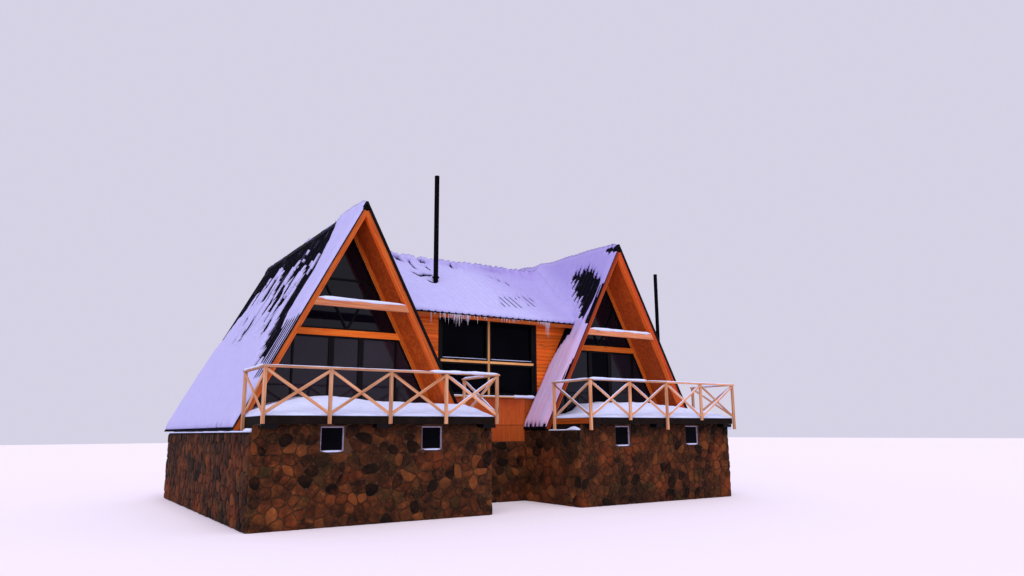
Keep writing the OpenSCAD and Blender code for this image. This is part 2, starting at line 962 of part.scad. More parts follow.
front_railing(1, [for (i = [0 : bays]) i % 2 == 0 ? floor_t : short_post_drop]);  // right_front_railing
side_railings(-1);  // left_side_railings
side_railings(1);  // right_side_railings
balcony_snow(-1, left_drift, left_drift_h);  // left_balcony_snow
balcony_snow(1, right_drift, right_drift_h);  // right_balcony_snow
flue_pipes();
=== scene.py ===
# %% [markdown]
# # A twin A-frame cabin under snow
# The cabin has two steep wings with glazed gables, a lower link between them, balconies with
# crossed braces, and a base of rubble stone. The frame holds its plain solids. This lesson dresses
# them: timber with grain and chamfers, boards, stones, ribbed roofing, glass and the lying snow.
# Everything is in metres, in the frame's own axes, with the ground at z = 0.

# %% Load the frame
import math

import bmesh
import bpy
import numpy as np
from mathutils import Matrix, Vector


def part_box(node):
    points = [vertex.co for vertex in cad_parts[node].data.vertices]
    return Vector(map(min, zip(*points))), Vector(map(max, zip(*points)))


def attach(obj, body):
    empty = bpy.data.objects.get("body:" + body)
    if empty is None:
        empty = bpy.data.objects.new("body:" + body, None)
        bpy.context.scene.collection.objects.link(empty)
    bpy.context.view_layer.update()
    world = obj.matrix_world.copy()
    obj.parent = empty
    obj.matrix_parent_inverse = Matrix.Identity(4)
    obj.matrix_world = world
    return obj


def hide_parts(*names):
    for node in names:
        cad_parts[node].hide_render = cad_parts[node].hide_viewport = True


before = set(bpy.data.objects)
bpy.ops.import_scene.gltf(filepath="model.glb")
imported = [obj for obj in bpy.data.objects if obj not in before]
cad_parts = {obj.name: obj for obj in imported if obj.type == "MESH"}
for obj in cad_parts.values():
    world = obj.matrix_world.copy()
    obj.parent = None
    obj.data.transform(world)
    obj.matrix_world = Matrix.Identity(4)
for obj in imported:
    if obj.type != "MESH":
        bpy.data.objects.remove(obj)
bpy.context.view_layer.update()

# %% [markdown]
# ## The sizes the pieces share
# A dressed piece has to sit where its solid sits, so the main sizes are written once here. Heights
# of the wings are measured from the floor. Depths are measured square to a roof slope, inwards from
# the tops of the roofing's ribs.

# %% Sizes
# The floor's height, a wing's middle, half a balcony's width between its posts, and one bay of railing.
FLOOR, WING_X, DECK_X, BAY = 2.2, 4.04, 2.65, 1.325
# The wings' roofs: pitch, ridge over the floor, front and back edge, and how far their foot hangs down.
ROOF_PITCH = math.radians(62.4)
ROOF_TAN = math.tan(ROOF_PITCH)
RIDGE = (DECK_X + 0.0685) * ROOF_TAN
ROOF_FRONT, ROOF_BACK, ROOF_FOOT = -4.075, 4.725, 0.27
SLOPE_LENGTH = (RIDGE + ROOF_FOOT) / math.sin(ROOF_PITCH)
# Glass of the front gables, back gables, railing posts, and faces of the stone base, along Y.
GABLE_Y, BACK_Y, POST_Y = -3.0, 4.125, -5.8
STONE_FRONT, STONE_BACK = -5.5, 4.15
# How deep the undersides of roofing, soffit, barge boards and rafters lie; the boards' width along Y.
SHEET_D, SOFFIT_D, BARGE_D, RAFTER_D = 0.045, 0.15, 0.162, 0.235
BARGE_T = 0.165
# The link's roof: pitch, eave and ridge.
LINK_PITCH = math.radians(32)
LINK_TAN = math.tan(LINK_PITCH)
LINK_EAVE_Y, LINK_EAVE_Z = 3.4, 2.81
LINK_RIDGE = LINK_EAVE_Z + LINK_EAVE_Y * LINK_TAN


def across(depth):
    """Horizontal width of a layer of the wing roof."""
    return depth / math.sin(ROOF_PITCH)


def half(z, inset=0.0):
    """Half width of a wing at height z above the floor."""
    return (RIDGE - z) / ROOF_TAN - inset


print("ridge", round(RIDGE, 3), "half width at the floor", round(half(0), 3), "slope", round(SLOPE_LENGTH, 3))

# %% [markdown]
# ## Camera and light
# The camera stands where the photograph was taken from: low, to the left, looking a little up. Its
# place and lens come from solving about a hundred points of the building. An overcast winter day
# has no hard shadows, so two very wide suns do for it, one high and one low in front. The sky is
# pale and even.

# %% Camera and light
EYE = Vector((-10.515, -20.421, 1.861))
YAW, TILT, ROLL = math.radians(33.18), math.radians(11.047), math.radians(-0.378)
LENS = 25.88


def linear(hex_colour):
    """An sRGB hex colour as linear RGBA."""
    parts = [int(hex_colour[i:i + 2], 16) / 255 for i in (1, 3, 5)]
    return [c / 12.92 if c <= 0.04045 else ((c + 0.055) / 1.055) ** 2.4 for c in parts] + [1.0]


def look_matrix():
    """The camera's turn, from its yaw, tilt and roll."""
    ahead = Vector((math.sin(YAW) * math.cos(TILT), math.cos(YAW) * math.cos(TILT), math.sin(TILT)))
    right = Vector((math.cos(YAW), -math.sin(YAW), 0))
    up = right.cross(ahead)
    turned_right = right * math.cos(ROLL) + up * math.sin(ROLL)
    turned_up = up * math.cos(ROLL) - right * math.sin(ROLL)
    return Matrix((turned_right, turned_up, -ahead)).transposed()


scene = bpy.context.scene
camera = bpy.data.objects.new("camera", bpy.data.cameras.new("camera"))
camera.data.lens, camera.data.sensor_width = LENS, 36
camera.data.clip_end = 500
camera.matrix_world = Matrix.Translation(EYE) @ look_matrix().to_4x4()
scene.collection.objects.link(camera)
scene.camera = camera

for name, energy, spread, tilt, turn, colour in (("high_sun", 1.6, 40, 20, -15, "#fff3ea"),
                                                 ("low_fill", 1.3, 60, 78, -45, "#ffeee0")):
    sun = bpy.data.objects.new(name, bpy.data.lights.new(name, "SUN"))
    sun.data.energy, sun.data.angle = energy, math.radians(spread)
    sun.data.color = linear(colour)[:3]
    sun.rotation_euler = (math.radians(tilt), 0, math.radians(turn))
    scene.collection.objects.link(sun)

world = bpy.data.worlds.new("sky")
world.use_nodes = True
sky = world.node_tree.nodes["Background"]
sky.inputs["Color"].default_value = linear("#e6e2f6")
sky.inputs["Strength"].default_value = 0.85
scene.world = world
scene.view_settings.view_transform = "Standard"
print("camera at", [round(v, 2) for v in EYE], "lens", LENS)

# %% [markdown]
# ## Making materials
# Each material is a small tree of nodes. One function adds a node with its settings and its links,
# so every tree below reads as a list of steps. Two more take up steps that come again in each tree:
# a second colour laid over the first where a pattern says so, and the shader with its relief.

# %% Material helpers


def put(tree, kind, sockets=None, stops=(), **settings):
    """A new node: its settings, then its inputs. An input is a constant, a hex colour, or the socket or
    node it is linked to; a node stands for its first output. stops are a ramp's places and colours."""
    made = tree.nodes.new(kind)
    for key, value in settings.items():
        setattr(made, key, value)
    for key, value in (sockets or {}).items():
        value = value.outputs[0] if isinstance(value, bpy.types.Node) else value
        if isinstance(value, bpy.types.NodeSocket):
            tree.links.new(value, made.inputs[key])
        else:
            is_colour = isinstance(value, str) and value.startswith("#")
            made.inputs[key].default_value = linear(value) if is_colour else value
    if stops:
        points = made.color_ramp.elements
        while len(points) < len(stops):
            points.new(0.5)
        for point, (place, colour) in zip(points, stops):
            point.position, point.color = place, linear(colour)
    return made


def blank_material(name):
    """An empty material and its tree."""
    made = bpy.data.materials.new(name)
    made.use_nodes = True
    made.node_tree.nodes.clear()
    return made, made.node_tree


def layer(tree, under, over, pattern, span, shares=(0.0, 1.0), how="MIX"):
    """One colour over another: by the first share where the pattern is below span, by the second above."""
    share = put(tree, "ShaderNodeMapRange", {0: pattern, 1: span[0], 2: span[1], 3: shares[0], 4: shares[1]})
    mixed = put(tree, "ShaderNodeMix", {0: share, 6: under, 7: over}, data_type="RGBA", blend_type=how)
    return mixed.outputs[2]


def close(tree, sockets, relief, depth, strength):
    """The shader at the end of a tree; relief is a height pattern, depth metres deep at full strength."""
    raised = put(tree, "ShaderNodeBump", {"Height": relief, "Distance": depth, "Strength": strength})
    shader = put(tree, "ShaderNodeBsdfPrincipled", {**sockets, "Normal": raised})
    put(tree, "ShaderNodeOutputMaterial", {"Surface": shader})


# %% [markdown]
# ## Timber finishes
# Sawn pine shows long bands of growth along the board, fine grain between them, and knots. A board's
# own map runs along it, so the bands follow every rafter and brace, whichever way it leans. The bands
# are drawn about 30 mm wide, wider than real growth rings, so that they show at this distance. Each
# board also has its own tint, because no two boards take a stain alike. The same orange stain looks
# different piece by piece: fresh on the gable rafters, darker on the barge boards, and redder on the
# right wing's, which are older. The thin laths under the barge boards are a painted highlight, bright
# for the light the snow throws up on the boards' undersides. The railings are peeled pine without a
# stain.

# %% Timber materials
# Growth bands and fine grain a metre, along each axis of the grain's map or of the object.
GRAIN = {"map": ((0.9, 22, 1), (4, 160, 1)), "x": ((0.9, 22, 22), (4, 160, 160)),
         "y": ((22, 0.9, 22), (160, 4, 160)), "z": ((14, 14, 1.2), (110, 110, 4))}
APART = 41.0


def timber(name, light, dark, knot, run="map", rough=0.5, weather=0.25):
    """Pine with growth bands, fine grain and knots. run is map, x, y or z: what the grain follows.
    weather is how far the dark colour greys it in patches."""
    made, tree = blank_material(name)
    if run == "map":
        place = put(tree, "ShaderNodeUVMap", uv_map="grain").outputs[0]
    else:
        place = put(tree, "ShaderNodeTexCoord").outputs["Object"]
    tint = put(tree, "ShaderNodeAttribute", attribute_name="tint").outputs["Fac"]
    apart = put(tree, "ShaderNodeMath", {0: tint, 1: APART}, operation="MULTIPLY")
    shift = put(tree, "ShaderNodeCombineXYZ", {"Z": apart})
    own_place = put(tree, "ShaderNodeVectorMath", {0: place, 1: shift}, operation="ADD")
    wide, narrow = GRAIN[run]
    bands = put(tree, "ShaderNodeMapping", {"Vector": own_place, "Scale": wide})
    lines = put(tree, "ShaderNodeMapping", {"Vector": own_place, "Scale": narrow})
    spots = put(tree, "ShaderNodeMapping", {"Vector": own_place, "Scale": [0.55 * v ** 0.5 for v in wide]})
    growth = put(tree, "ShaderNodeTexNoise", {"Vector": bands, "Scale": 1.5, "Detail": 3, "Roughness": 0.55})
    grain = put(tree, "ShaderNodeTexNoise", {"Vector": lines, "Scale": 1.0, "Detail": 2, "Roughness": 0.55})
    knots = put(tree, "ShaderNodeTexVoronoi", {"Vector": spots, "Scale": 2.2, "Randomness": 1.0})
    patches = put(tree, "ShaderNodeTexNoise", {"Vector": place, "Scale": 1.1, "Detail": 2, "Roughness": 0.55})
    colour = put(tree, "ShaderNodeValToRGB", {"Fac": growth}, [(0.32, dark), (0.62, light)])
    colour = layer(tree, colour, dark, grain, (0.35, 0.75), (0.0, 0.35))
    colour = layer(tree, colour, knot, knots, (0.05, 0.13), (0.75, 0.0))
    colour = layer(tree, colour, dark, patches, (0.4, 0.75), (0.0, weather), "MULTIPLY")
    shade = put(tree, "ShaderNodeValToRGB", {"Fac": tint}, [(0.0, "#c4c4c4"), (1.0, "#ffffff")])
    own = put(tree, "ShaderNodeMix", {0: 1.0, 6: colour, 7: shade}, data_type="RGBA", blend_type="MULTIPLY")
    gloss = put(tree, "ShaderNodeMapRange", {0: grain, 1: 0.3, 2: 0.7, 3: rough - 0.08, 4: rough + 0.12})
    close(tree, {"Base Color": own.outputs[2], "Roughness": gloss, "Specular IOR Level": 0.15},
          grain, 0.0015, 0.6)
    return made


gable_pine = timber("gable_pine", "#ff9032", "#ec661a", "#a0481a", weather=0.1)
barge_pine = timber("barge_pine", "#cc6a28", "#a44416", "#6a2a10")
aged_barge = timber("aged_barge_pine", "#cc5420", "#9c3210", "#6a2a10")
# Painted highlight: the laths' bright colour stands for light thrown up onto the barge boards' undersides.
painted_highlight_pine = timber("painted_highlight_pine", "#f27634", "#dc5c1c", "#a8501c", weather=0.1)
stained_siding = timber("stained_pine_siding", "#ff842a", "#f0601a", "#9a4414", run="x", weather=0.1)
peeled_pine = timber("peeled_pine", "#e8b693", "#b6764a", "#824624", rough=0.6)
collar_pine = timber("planed_pine", "#efa47c", "#cf7748", "#8a4a2a", rough=0.55)
window_pine = timber("varnished_pine", "#f2b878", "#d0904e", "#8a5a30", rough=0.4)
floor_pine = timber("floor_boards", "#a97849", "#7c5230", "#4a2f1c", run="y", rough=0.45)
rim_pine = timber("rim_timber", "#c4601f", "#8f3f12", "#5c2a10")
panel_board = timber("plywood_panel", "#d2662c", "#bd5620", "#a8491b", run="z", weather=0.5)
print("timber finishes", len(bpy.data.materials))

# %% [markdown]
# ## Boards of pressed chips
# The undersides of the wing roofs are lined with sheets of pressed wood chips under a brown stain.
# The chips are 30 to 80 mm long and lie every way, so a stretched cell pattern is laid twice, once
# each way, and each chip takes its own tone. Painted shade darkens the sheets along the front edge,
# beside the barge boards, and on the left wing up at the ridge. On the right wing the same colour
# darkens them down at the foot.

# %% Chipboard
# The colour of the painted shade laid over the chips.
CHIP, PAINTED_SOFFIT_SHADE = 0.05, "#3c160a"


def chipboard(name, light, dark, at_ridge, at_foot):
    """Pressed chips, darkened by those shares up at the ridge and down at the foot; painted shade also
    darkens the front edge.
    """
    made, tree = blank_material(name)
    place = put(tree, "ShaderNodeTexCoord").outputs["Object"]
    shades = []
    for scale in ((1, 0.35, 1), (0.4, 1, 0.45)):
        laid = put(tree, "ShaderNodeMapping", {"Vector": place, "Scale": scale})
        shades.append(put(tree, "ShaderNodeTexVoronoi", {"Vector": laid, "Scale": 1 / CHIP}).outputs["Color"])
    mixed = put(tree, "ShaderNodeMix", {0: 0.5, 6: shades[0], 7: shades[1]}, data_type="RGBA")
    chips = put(tree, "ShaderNodeSeparateColor", {0: mixed.outputs[2]})
    patches = put(tree, "ShaderNodeTexNoise", {"Vector": place, "Scale": 1.3, "Detail": 3, "Roughness": 0.55})
    at = put(tree, "ShaderNodeSeparateXYZ", {0: place})
    colour = put(tree, "ShaderNodeValToRGB", {"Fac": chips}, [(0.3, dark), (0.75, light)])
    colour = layer(tree, colour, dark, patches, (0.35, 0.7), (0.0, 0.45))
    # Painted shade up at the ridge of the left wing; the right wing's sheets darken down at the foot.
    colour = layer(tree, colour, PAINTED_SOFFIT_SHADE, at.outputs["Z"], (3.0, 6.0), (at_foot, at_ridge))
    # Painted shade along the front edge, beside the barge boards.
    colour = layer(tree, colour, PAINTED_SOFFIT_SHADE, at.outputs["Y"], (-3.9, -3.1), (0.12, 0.0))
    close(tree, {"Base Color": colour, "Roughness": 0.62, "Specular IOR Level": 0.12}, chips, 0.001, 0.5)
    return made


soffit_board = chipboard("stained_chipboard", "#ec6a26", "#c4521c", 0.42, 0.1)
aged_soffit = chipboard("aged_chipboard", "#cc5a24", "#b0481c", 0.0, 0.3)
print("with the chipboards", len(bpy.data.materials))

# %% [markdown]
# ## Paint, felt and concrete
# The glazing bars and trims are painted black, the flues are black enamel, and the cellar windows
# are a pale paint that takes the lilac of the sky. Bitumen felt wraps the balconies' edges. The
# basement floor is cast concrete. All of them are one colour with cloudy wear and a fine relief.

# %% Painted and coated surfaces


def painted(name, colour, worn, rough, patch=3.0, relief=0.0008, shine=0.1):
    """One colour with cloudy wear. patch is clouds a metre, and relief is metres deep."""
    made, tree = blank_material(name)
    place = put(tree, "ShaderNodeTexCoord").outputs["Object"]
    wear = put(tree, "ShaderNodeTexNoise", {"Vector": place, "Scale": patch, "Detail": 5, "Roughness": 0.65})
    fine = put(tree, "ShaderNodeTexNoise", {"Vector": place, "Scale": 90, "Detail": 2, "Roughness": 0.55})
    look = layer(tree, colour, worn, wear, (0.45, 0.8))
    gloss = put(tree, "ShaderNodeMapRange", {0: wear, 1: 0.3, 2: 0.8, 3: rough, 4: rough + 0.2})
    close(tree, {"Base Color": look, "Roughness": gloss, "Specular IOR Level": shine}, fine, relief, 0.5)
    return made


black_paint = painted("black_paint", "#070608", "#121013", 0.35)
felt_edge = painted("bitumen_felt", "#140e0c", "#241a16", 0.7, 6.0, 0.003, 0.05)
flue_paint = painted("black_enamel", "#050308", "#0d080b", 0.55, 5.0, shine=0.03)
cellar_paint = painted("pale_paint", "#a497b4", "#75687c", 0.55, 7.0, shine=0.2)
cast_concrete = painted("cast_concrete", "#8f8b88", "#6f6a66", 0.85, 2.0, 0.004)
print("with the paints", len(bpy.data.materials))

# %% [markdown]
# ## Roofing
# The roofing is folded steel sheet under a satin, blue-black coat. Where the wind has stripped the
# snow, a breath of frost stays on it, drawn out down the slope. The pattern is stretched along the
# slope for that, and it is a little stronger on the link.

# %% Roofing steel


def coated_steel(name, streak, frosted):
    """Blue-black coated steel. streak stretches its frost down a slope; frosted is its share at most."""
    made, tree = blank_material(name)
    place = put(tree, "ShaderNodeTexCoord").outputs["Object"]
    dust = put(tree, "ShaderNodeTexNoise", {"Vector": place, "Scale": 2.2, "Detail": 6, "Roughness": 0.7})
    blown = put(tree, "ShaderNodeMapping", {"Vector": place, "Scale": streak})
    frost = put(tree, "ShaderNodeTexNoise", {"Vector": blown, "Scale": 1.0, "Detail": 4, "Roughness": 0.7})
    both = put(tree, "ShaderNodeMath", {0: dust, 1: frost}, operation="MULTIPLY")
    colour = layer(tree, "#04030f", "#8480b0", both, (0.3, 0.42), (0.0, frosted))
    gloss = put(tree, "ShaderNodeMapRange", {0: dust, 1: 0.3, 2: 0.7, 3: 0.5, 4: 0.7})
    close(tree, {"Base Color": colour, "Roughness": gloss, "Specular IOR Level": 0.03}, frost, 0.0008, 0.4)
    return made


wing_steel = coated_steel("wing_roof_steel", (1.3, 16, 1.3), 0.25)
link_steel = coated_steel("link_roof_steel", (16, 1.3, 1.3), 0.36)
print("with the roofing", len(bpy.data.materials))

# %% [markdown]
# ## Glass
# Float glass in front of an unlit room is dark and gives back some of the sky. It is never quite
# flat, so a slow wave bends what it mirrors. Its colours are painted: the dark of the room behind,
# and a painted reflection mottled by the same wave. The gables' lower panes are painted paler than
# the upper ones, and the right gable's glass is a darker, shaded copy of the left's. The small
# windows are painted nearly black.

# %% Window glass


def dark_glass(name, mirror, through, dark, light, upper=None, split=0.0):
    """Glass in front of an unlit room. mirror is how much of the sky it gives back, and through how much
    light it lets in. Above the height split the panes show the upper colour."""
    made, tree = blank_material(name)
    place = put(tree, "ShaderNodeTexCoord").outputs["Object"]
    waves = put(tree, "ShaderNodeTexNoise", {"Vector": place, "Scale": 0.8, "Detail": 2, "Roughness": 0.55})
    # Painted reflection: two shades mixed by the wave.
    colour = layer(tree, dark, light, waves, (0.35, 0.7))
    if upper:
        height = put(tree, "ShaderNodeSeparateXYZ", {0: place}).outputs["Z"]
        # Painted: the panes above the height split take a darker colour.
        colour = layer(tree, colour, upper, height, (split - 0.02, split + 0.02))
    close(tree, {"Base Color": colour, "Roughness": 0.04, "IOR": 1.5, "Specular IOR Level": mirror,
                 "Transmission Weight": through}, waves, 0.004, 0.25)
    return made


pane = dark_glass("window_pane", 0.02, 0.0, "#030408", "#07070d")
gable_pane = dark_glass("gable_pane", 0.26, 0.12, "#1f1a24", "#292330", "#060914", FLOOR + 2.07)
shaded_pane = dark_glass("shaded_pane", 0.2, 0.1, "#12131d", "#191b27", "#0b0d18", FLOOR + 2.14)
print("with the glass", len(bpy.data.materials))

# %% [markdown]
# ## Rubble stone and mortar
# The base is field stone: brown, rust and ochre, with near-black ones among them. Each stone carries
# a tint that chooses its colour. A coarse mottle, rust in some parts of the wall and damp in others,
# and fine pits are laid over it, with a band of painted shade at the top of the wall under the
# balconies. A mortar of lime and sand fills the joints. Both are rough, and their relief is 30 and
# 6 mm at most.

# %% Stone and mortar


def rubble():
    """Field stones; the tint of each stone chooses its colour."""
    made, tree = blank_material("rubble_stone")
    place = put(tree, "ShaderNodeTexCoord").outputs["Object"]
    tint = put(tree, "ShaderNodeAttribute", attribute_name="tint").outputs["Fac"]
    mottle = put(tree, "ShaderNodeTexNoise", {"Vector": place, "Scale": 5, "Detail": 8, "Roughness": 0.75})
    region = put(tree, "ShaderNodeTexNoise", {"Vector": place, "Scale": 1.1, "Detail": 4, "Roughness": 0.55})
    pits = put(tree, "ShaderNodeTexNoise", {"Vector": place, "Scale": 32, "Detail": 5, "Roughness": 0.7})
    relief = put(tree, "ShaderNodeTexNoise", {"Vector": place, "Scale": 18, "Detail": 7, "Roughness": 0.7})
    height = put(tree, "ShaderNodeSeparateXYZ", {0: place}).outputs["Z"]
    colour = put(tree, "ShaderNodeValToRGB", {"Fac": tint},
                 [(0.0, "#060302"), (0.1, "#0c0704"), (0.14, "#2a160e"), (0.3, "#62341c"),
                  (0.42, "#26140d"), (0.55, "#3e2213"), (0.68, "#8e522a"), (0.76, "#20140e"),
                  (0.86, "#43351b"), (1.0, "#562915")])
    patches = put(tree, "ShaderNodeValToRGB", {"Fac": mottle},
                  [(0.34, "#0a0503"), (0.47, "#28140c"), (0.6, "#6a381e"), (0.72, "#b4743f")])
    colour = layer(tree, colour, patches, tint, (0.11, 0.15), (0.12, 0.5))
    colour = layer(tree, colour, "#1f150d", region, (0.5, 0.66), (0.0, 0.7))
    colour = layer(tree, colour, "#7c3a1b", region, (0.34, 0.47), (0.5, 0.0))
    # Painted shade: the top of the wall darkens under the balconies above it.
    colour = layer(tree, colour, "#17100c", height, (1.55, 2.0), (0.0, 0.5))
    colour = layer(tree, colour, "#1a0f0b", pits, (0.5, 0.75), (0.0, 0.5))
    close(tree, {"Base Color": colour, "Roughness": 0.85, "Specular IOR Level": 0.1}, relief, 0.03, 0.8)
    return made


def lime_mortar():
    """Sandy mortar between the stones, darker where it is damp."""
    made, tree = blank_material("lime_mortar")
    place = put(tree, "ShaderNodeTexCoord").outputs["Object"]
    sand = put(tree, "ShaderNodeTexNoise", {"Vector": place, "Scale": 60, "Detail": 5, "Roughness": 0.7})
    damp = put(tree, "ShaderNodeTexNoise", {"Vector": place, "Scale": 1.5, "Detail": 4, "Roughness": 0.55})
    colour = put(tree, "ShaderNodeValToRGB", {"Fac": sand}, [(0.3, "#38251b"), (0.7, "#5c4130")])
    colour = layer(tree, colour, "#241710", damp, (0.4, 0.7), (0.0, 0.6))
    close(tree, {"Base Color": colour, "Roughness": 0.9, "Specular IOR Level": 0.1}, sand, 0.006, 0.6)
    return made


field_stone, mortar = rubble(), lime_mortar()
print("with the stone", len(bpy.data.materials))

# %% [markdown]
# ## Snow and ice
# The snow's colour is painted with the lilac of the sky's light. The wind dimples it at the scale of a
# hand, and a crust roughens it. Two attributes of the snow say how much painted light it takes:
# painted shade, a deeper lilac, and a rosy painted glow where the stained boards throw their light on
# it. The icicles are cloudy ice.

# %% Snow and ice materials


def lying_snow():
    """Old snow, dimpled by the wind; two attributes deepen its colour with painted shade and a rosy painted
    glow.
    """
    made, tree = blank_material("lying_snow")
    place = put(tree, "ShaderNodeTexCoord").outputs["Object"]
    dimples = put(tree, "ShaderNodeTexNoise", {"Vector": place, "Scale": 5, "Detail": 4, "Roughness": 0.6})
    crust = put(tree, "ShaderNodeTexNoise", {"Vector": place, "Scale": 45, "Detail": 3, "Roughness": 0.6})
    colour = put(tree, "ShaderNodeValToRGB", {"Fac": dimples}, [(0.3, "#c3cef8"), (0.7, "#cfdcff")])
    # Painted light: the first attribute mixes in a deeper lilac as painted shade, the second a rosy painted
    # glow from the boards.
    for word, over in (("packed", "#7a5fb9"), ("rosy", "#d98fae")):
        share = put(tree, "ShaderNodeAttribute", attribute_name=word).outputs["Fac"]
        colour = put(tree, "ShaderNodeMix", {0: share, 6: colour, 7: over}, data_type="RGBA").outputs[2]
    both = put(tree, "ShaderNodeMath", {0: dimples, 1: crust, 2: 0.15}, operation="MULTIPLY_ADD")
    close(tree, {"Base Color": colour, "Roughness": 0.75, "Specular IOR Level": 0.2}, both, 0.03, 0.5)
    return made


def clear_ice():
    """Icicles: cloudy ice."""
    made, tree = blank_material("clear_ice")
    place = put(tree, "ShaderNodeTexCoord").outputs["Object"]
    cloud = put(tree, "ShaderNodeTexNoise", {"Vector": place, "Scale": 30, "Detail": 3, "Roughness": 0.55})
    colour = put(tree, "ShaderNodeValToRGB", {"Fac": cloud}, [(0.3, "#cfc9e6"), (0.7, "#f2eefc")])
    close(tree, {"Base Color": colour, "Roughness": 0.12, "IOR": 1.31, "Transmission Weight": 0.5},
          cloud, 0.002, 0.5)
    return made


snow, ice = lying_snow(), clear_ice()
print("all finishes", len(bpy.data.materials))

# %% [markdown]
# ## Putting finishes on the frame's own nodes
# Many solids already have the real shape, such as the roofing with its ribs or the panes. They stay
# and only take a finish. Their meshes are not touched.

# %% Finishes for the CAD nodes
FINISH = {
    cast_concrete: ["basement_floor"],
    mortar: ["left_base_front_wall", "right_base_front_wall", "left_base_outer_wall",
             "right_base_outer_wall", "base_inner_walls", "base_back_walls", "link_base_walls"],
    cellar_paint: ["basement_window_frames"],
    pane: ["basement_window_glass", "window_glass"],
    gable_pane: ["left_gable_glass"],
    shaded_pane: ["right_gable_glass"],
    floor_pine: ["main_floor"],
    felt_edge: ["left_deck", "right_deck", "deck_rim_beams"],
    soffit_board: ["left_wing_left_slope", "left_wing_right_slope", "link_front_slope", "link_back_slope"],
    aged_soffit: ["right_wing_left_slope", "right_wing_right_slope"],
    wing_steel: ["left_wing_roofing", "right_wing_roofing"],
    link_steel: ["link_roofing"],
    black_paint: ["left_gable_bars", "right_gable_bars"],
    panel_board: ["left_back_gable", "right_back_gable", "link_front_wall", "link_back_wall"],
    flue_paint: ["flue_pipes"],
}
for finish, names in FINISH.items():
    for name in names:
        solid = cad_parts[name]
        solid.data.materials.clear()
        solid.data.materials.append(finish)
print("finished CAD nodes", sum(len(names) for names in FINISH.values()))

# %% [markdown]
# ## Pieces of the scene
# A new piece is a mesh at the origin with its place in its vertices. It rides on the one body,
# it takes its finish, and the nodes it stands for are hidden. The plain floor is a stage, not a piece.

# %% Piece helpers and the floor


def mesh_of(name, verts, faces=(), edges=(), maps=None, smooth=False, **values):
    """A mesh, with a grain map per corner if given; each of the values is a list with a number a vertex."""
    made = bpy.data.meshes.new(name)
    made.from_pydata([tuple(v) for v in verts], edges, faces)
    if maps is not None:
        grain_map = made.uv_layers.new(name="grain")
        grain_map.data.foreach_set("uv", np.array(maps, dtype=np.float32).ravel())
    for key, numbers in values.items():
        made.attributes.new(key, "FLOAT", "POINT").data.foreach_set("value", np.array(numbers, np.float32))
    if smooth:
        made.polygons.foreach_set("use_smooth", [True] * len(made.polygons))
    made.update()
    return made


def place_piece(name, mesh, finish, slot, *stands_for):
    """The mesh as a piece of the cabin."""
    mesh.materials.clear()
    mesh.materials.append(finish)
    made = bpy.data.objects.new(name, mesh)
    scene.collection.objects.link(made)
    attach(made, "root")
    if stands_for:
        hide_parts(*stands_for)
    print(name, len(mesh.polygons), "faces")
    return made


FAR = 150
corners = [(-FAR, -FAR, 0), (FAR, -FAR, 0), (FAR, FAR, 0), (-FAR, FAR, 0)]
floor_mesh = mesh_of("ground", corners, [(0, 1, 2, 3)])
floor = bpy.data.objects.new("ground", floor_mesh)
floor_finish, tree = blank_material("studio_floor")
plain = put(tree, "ShaderNodeBsdfPrincipled", {"Base Color": "#e6e2f2", "Roughness": 0.9})
put(tree, "ShaderNodeOutputMaterial", {"Surface": plain})
floor_mesh.materials.append(floor_finish)
scene.collection.objects.link(floor)

# %% [markdown]
# ## Timbers
# A rafter, post or brace is a straight stick with its long edges eased, cut at each end by a plane:
# the mitre at the ridge, the level cut at the foot, or the face of a post. Each stick is swept from
# an eight-sided outline, and each corner of that outline runs until it meets the end planes. Sticks
# of one node are gathered in one mesh. The map runs along the stick, for the grain.

# %% Timber builder


class Timbers:
    """Straight sticks gathered in one mesh."""

    def __init__(self, seed):
        self.rng = np.random.default_rng(seed)
        self.verts, self.faces, self.maps, self.tints = [], [], [], []

    def add(self, start, end, side, width, depth, cuts=(None, None), ease=0.004, tint=None):
        """A stick from start to end. side is where its width points; cuts are end planes' normals.
        A tint is drawn by lot unless one is given."""
        start, end, side = Vector(start), Vector(end), Vector(side).normalized()
        along = (end - start).normalized()
        up = along.cross(side).normalized()
        w, d, e = width / 2, depth / 2, ease
        outline = [(w, d - e), (w - e, d), (e - w, d), (-w, d - e)]
        outline += [(-a, -b) for a, b in outline]
        first, drawn = len(self.verts), self.rng.random()
        tint = drawn if tint is None else tint
        offset = Vector((self.rng.random() * 20, self.rng.random() * 20))
        girth = np.cumsum([0] + [math.dist(outline[i], outline[(i + 1) % 8]) for i in range(8)])
        runs = []
        for point, cut in ((start, cuts[0]), (end, cuts[1])):
            normal = Vector(cut) if cut else along
            row = []
            for a, b in outline:
                base = start + side * a + up * b
                run = (point - base).dot(normal) / along.dot(normal)
                row.append(run)
                self.verts.append(base + along * run)
                self.tints.append(tint)
            runs.append(row)
        for i in range(8):
            j = (i + 1) % 8
            self.faces.append((first + i, first + 8 + i, first + 8 + j, first + j))
            for r, g in ((runs[0][i], i), (runs[1][i], i), (runs[1][j], i + 1), (runs[0][j], i + 1)):
                self.maps.append((r + offset.x, girth[g] + offset.y))
        self.faces.append(tuple(first + i for i in range(8)))
        self.maps += [(a * 0.3 + offset.x, b + offset.y) for a, b in outline]
        self.faces.append(tuple(first + 8 + i for i in reversed(range(8))))
        self.maps += [(a * 0.3 + offset.x, b + offset.y) for a, b in reversed(outline)]

    def done(self, name, finish, slot, *stands_for):
        """The gathered sticks as a piece."""
        mesh = mesh_of(name, self.verts, self.faces, maps=self.maps, tint=self.tints)
        return place_piece(name, mesh, finish, slot, *stands_for)


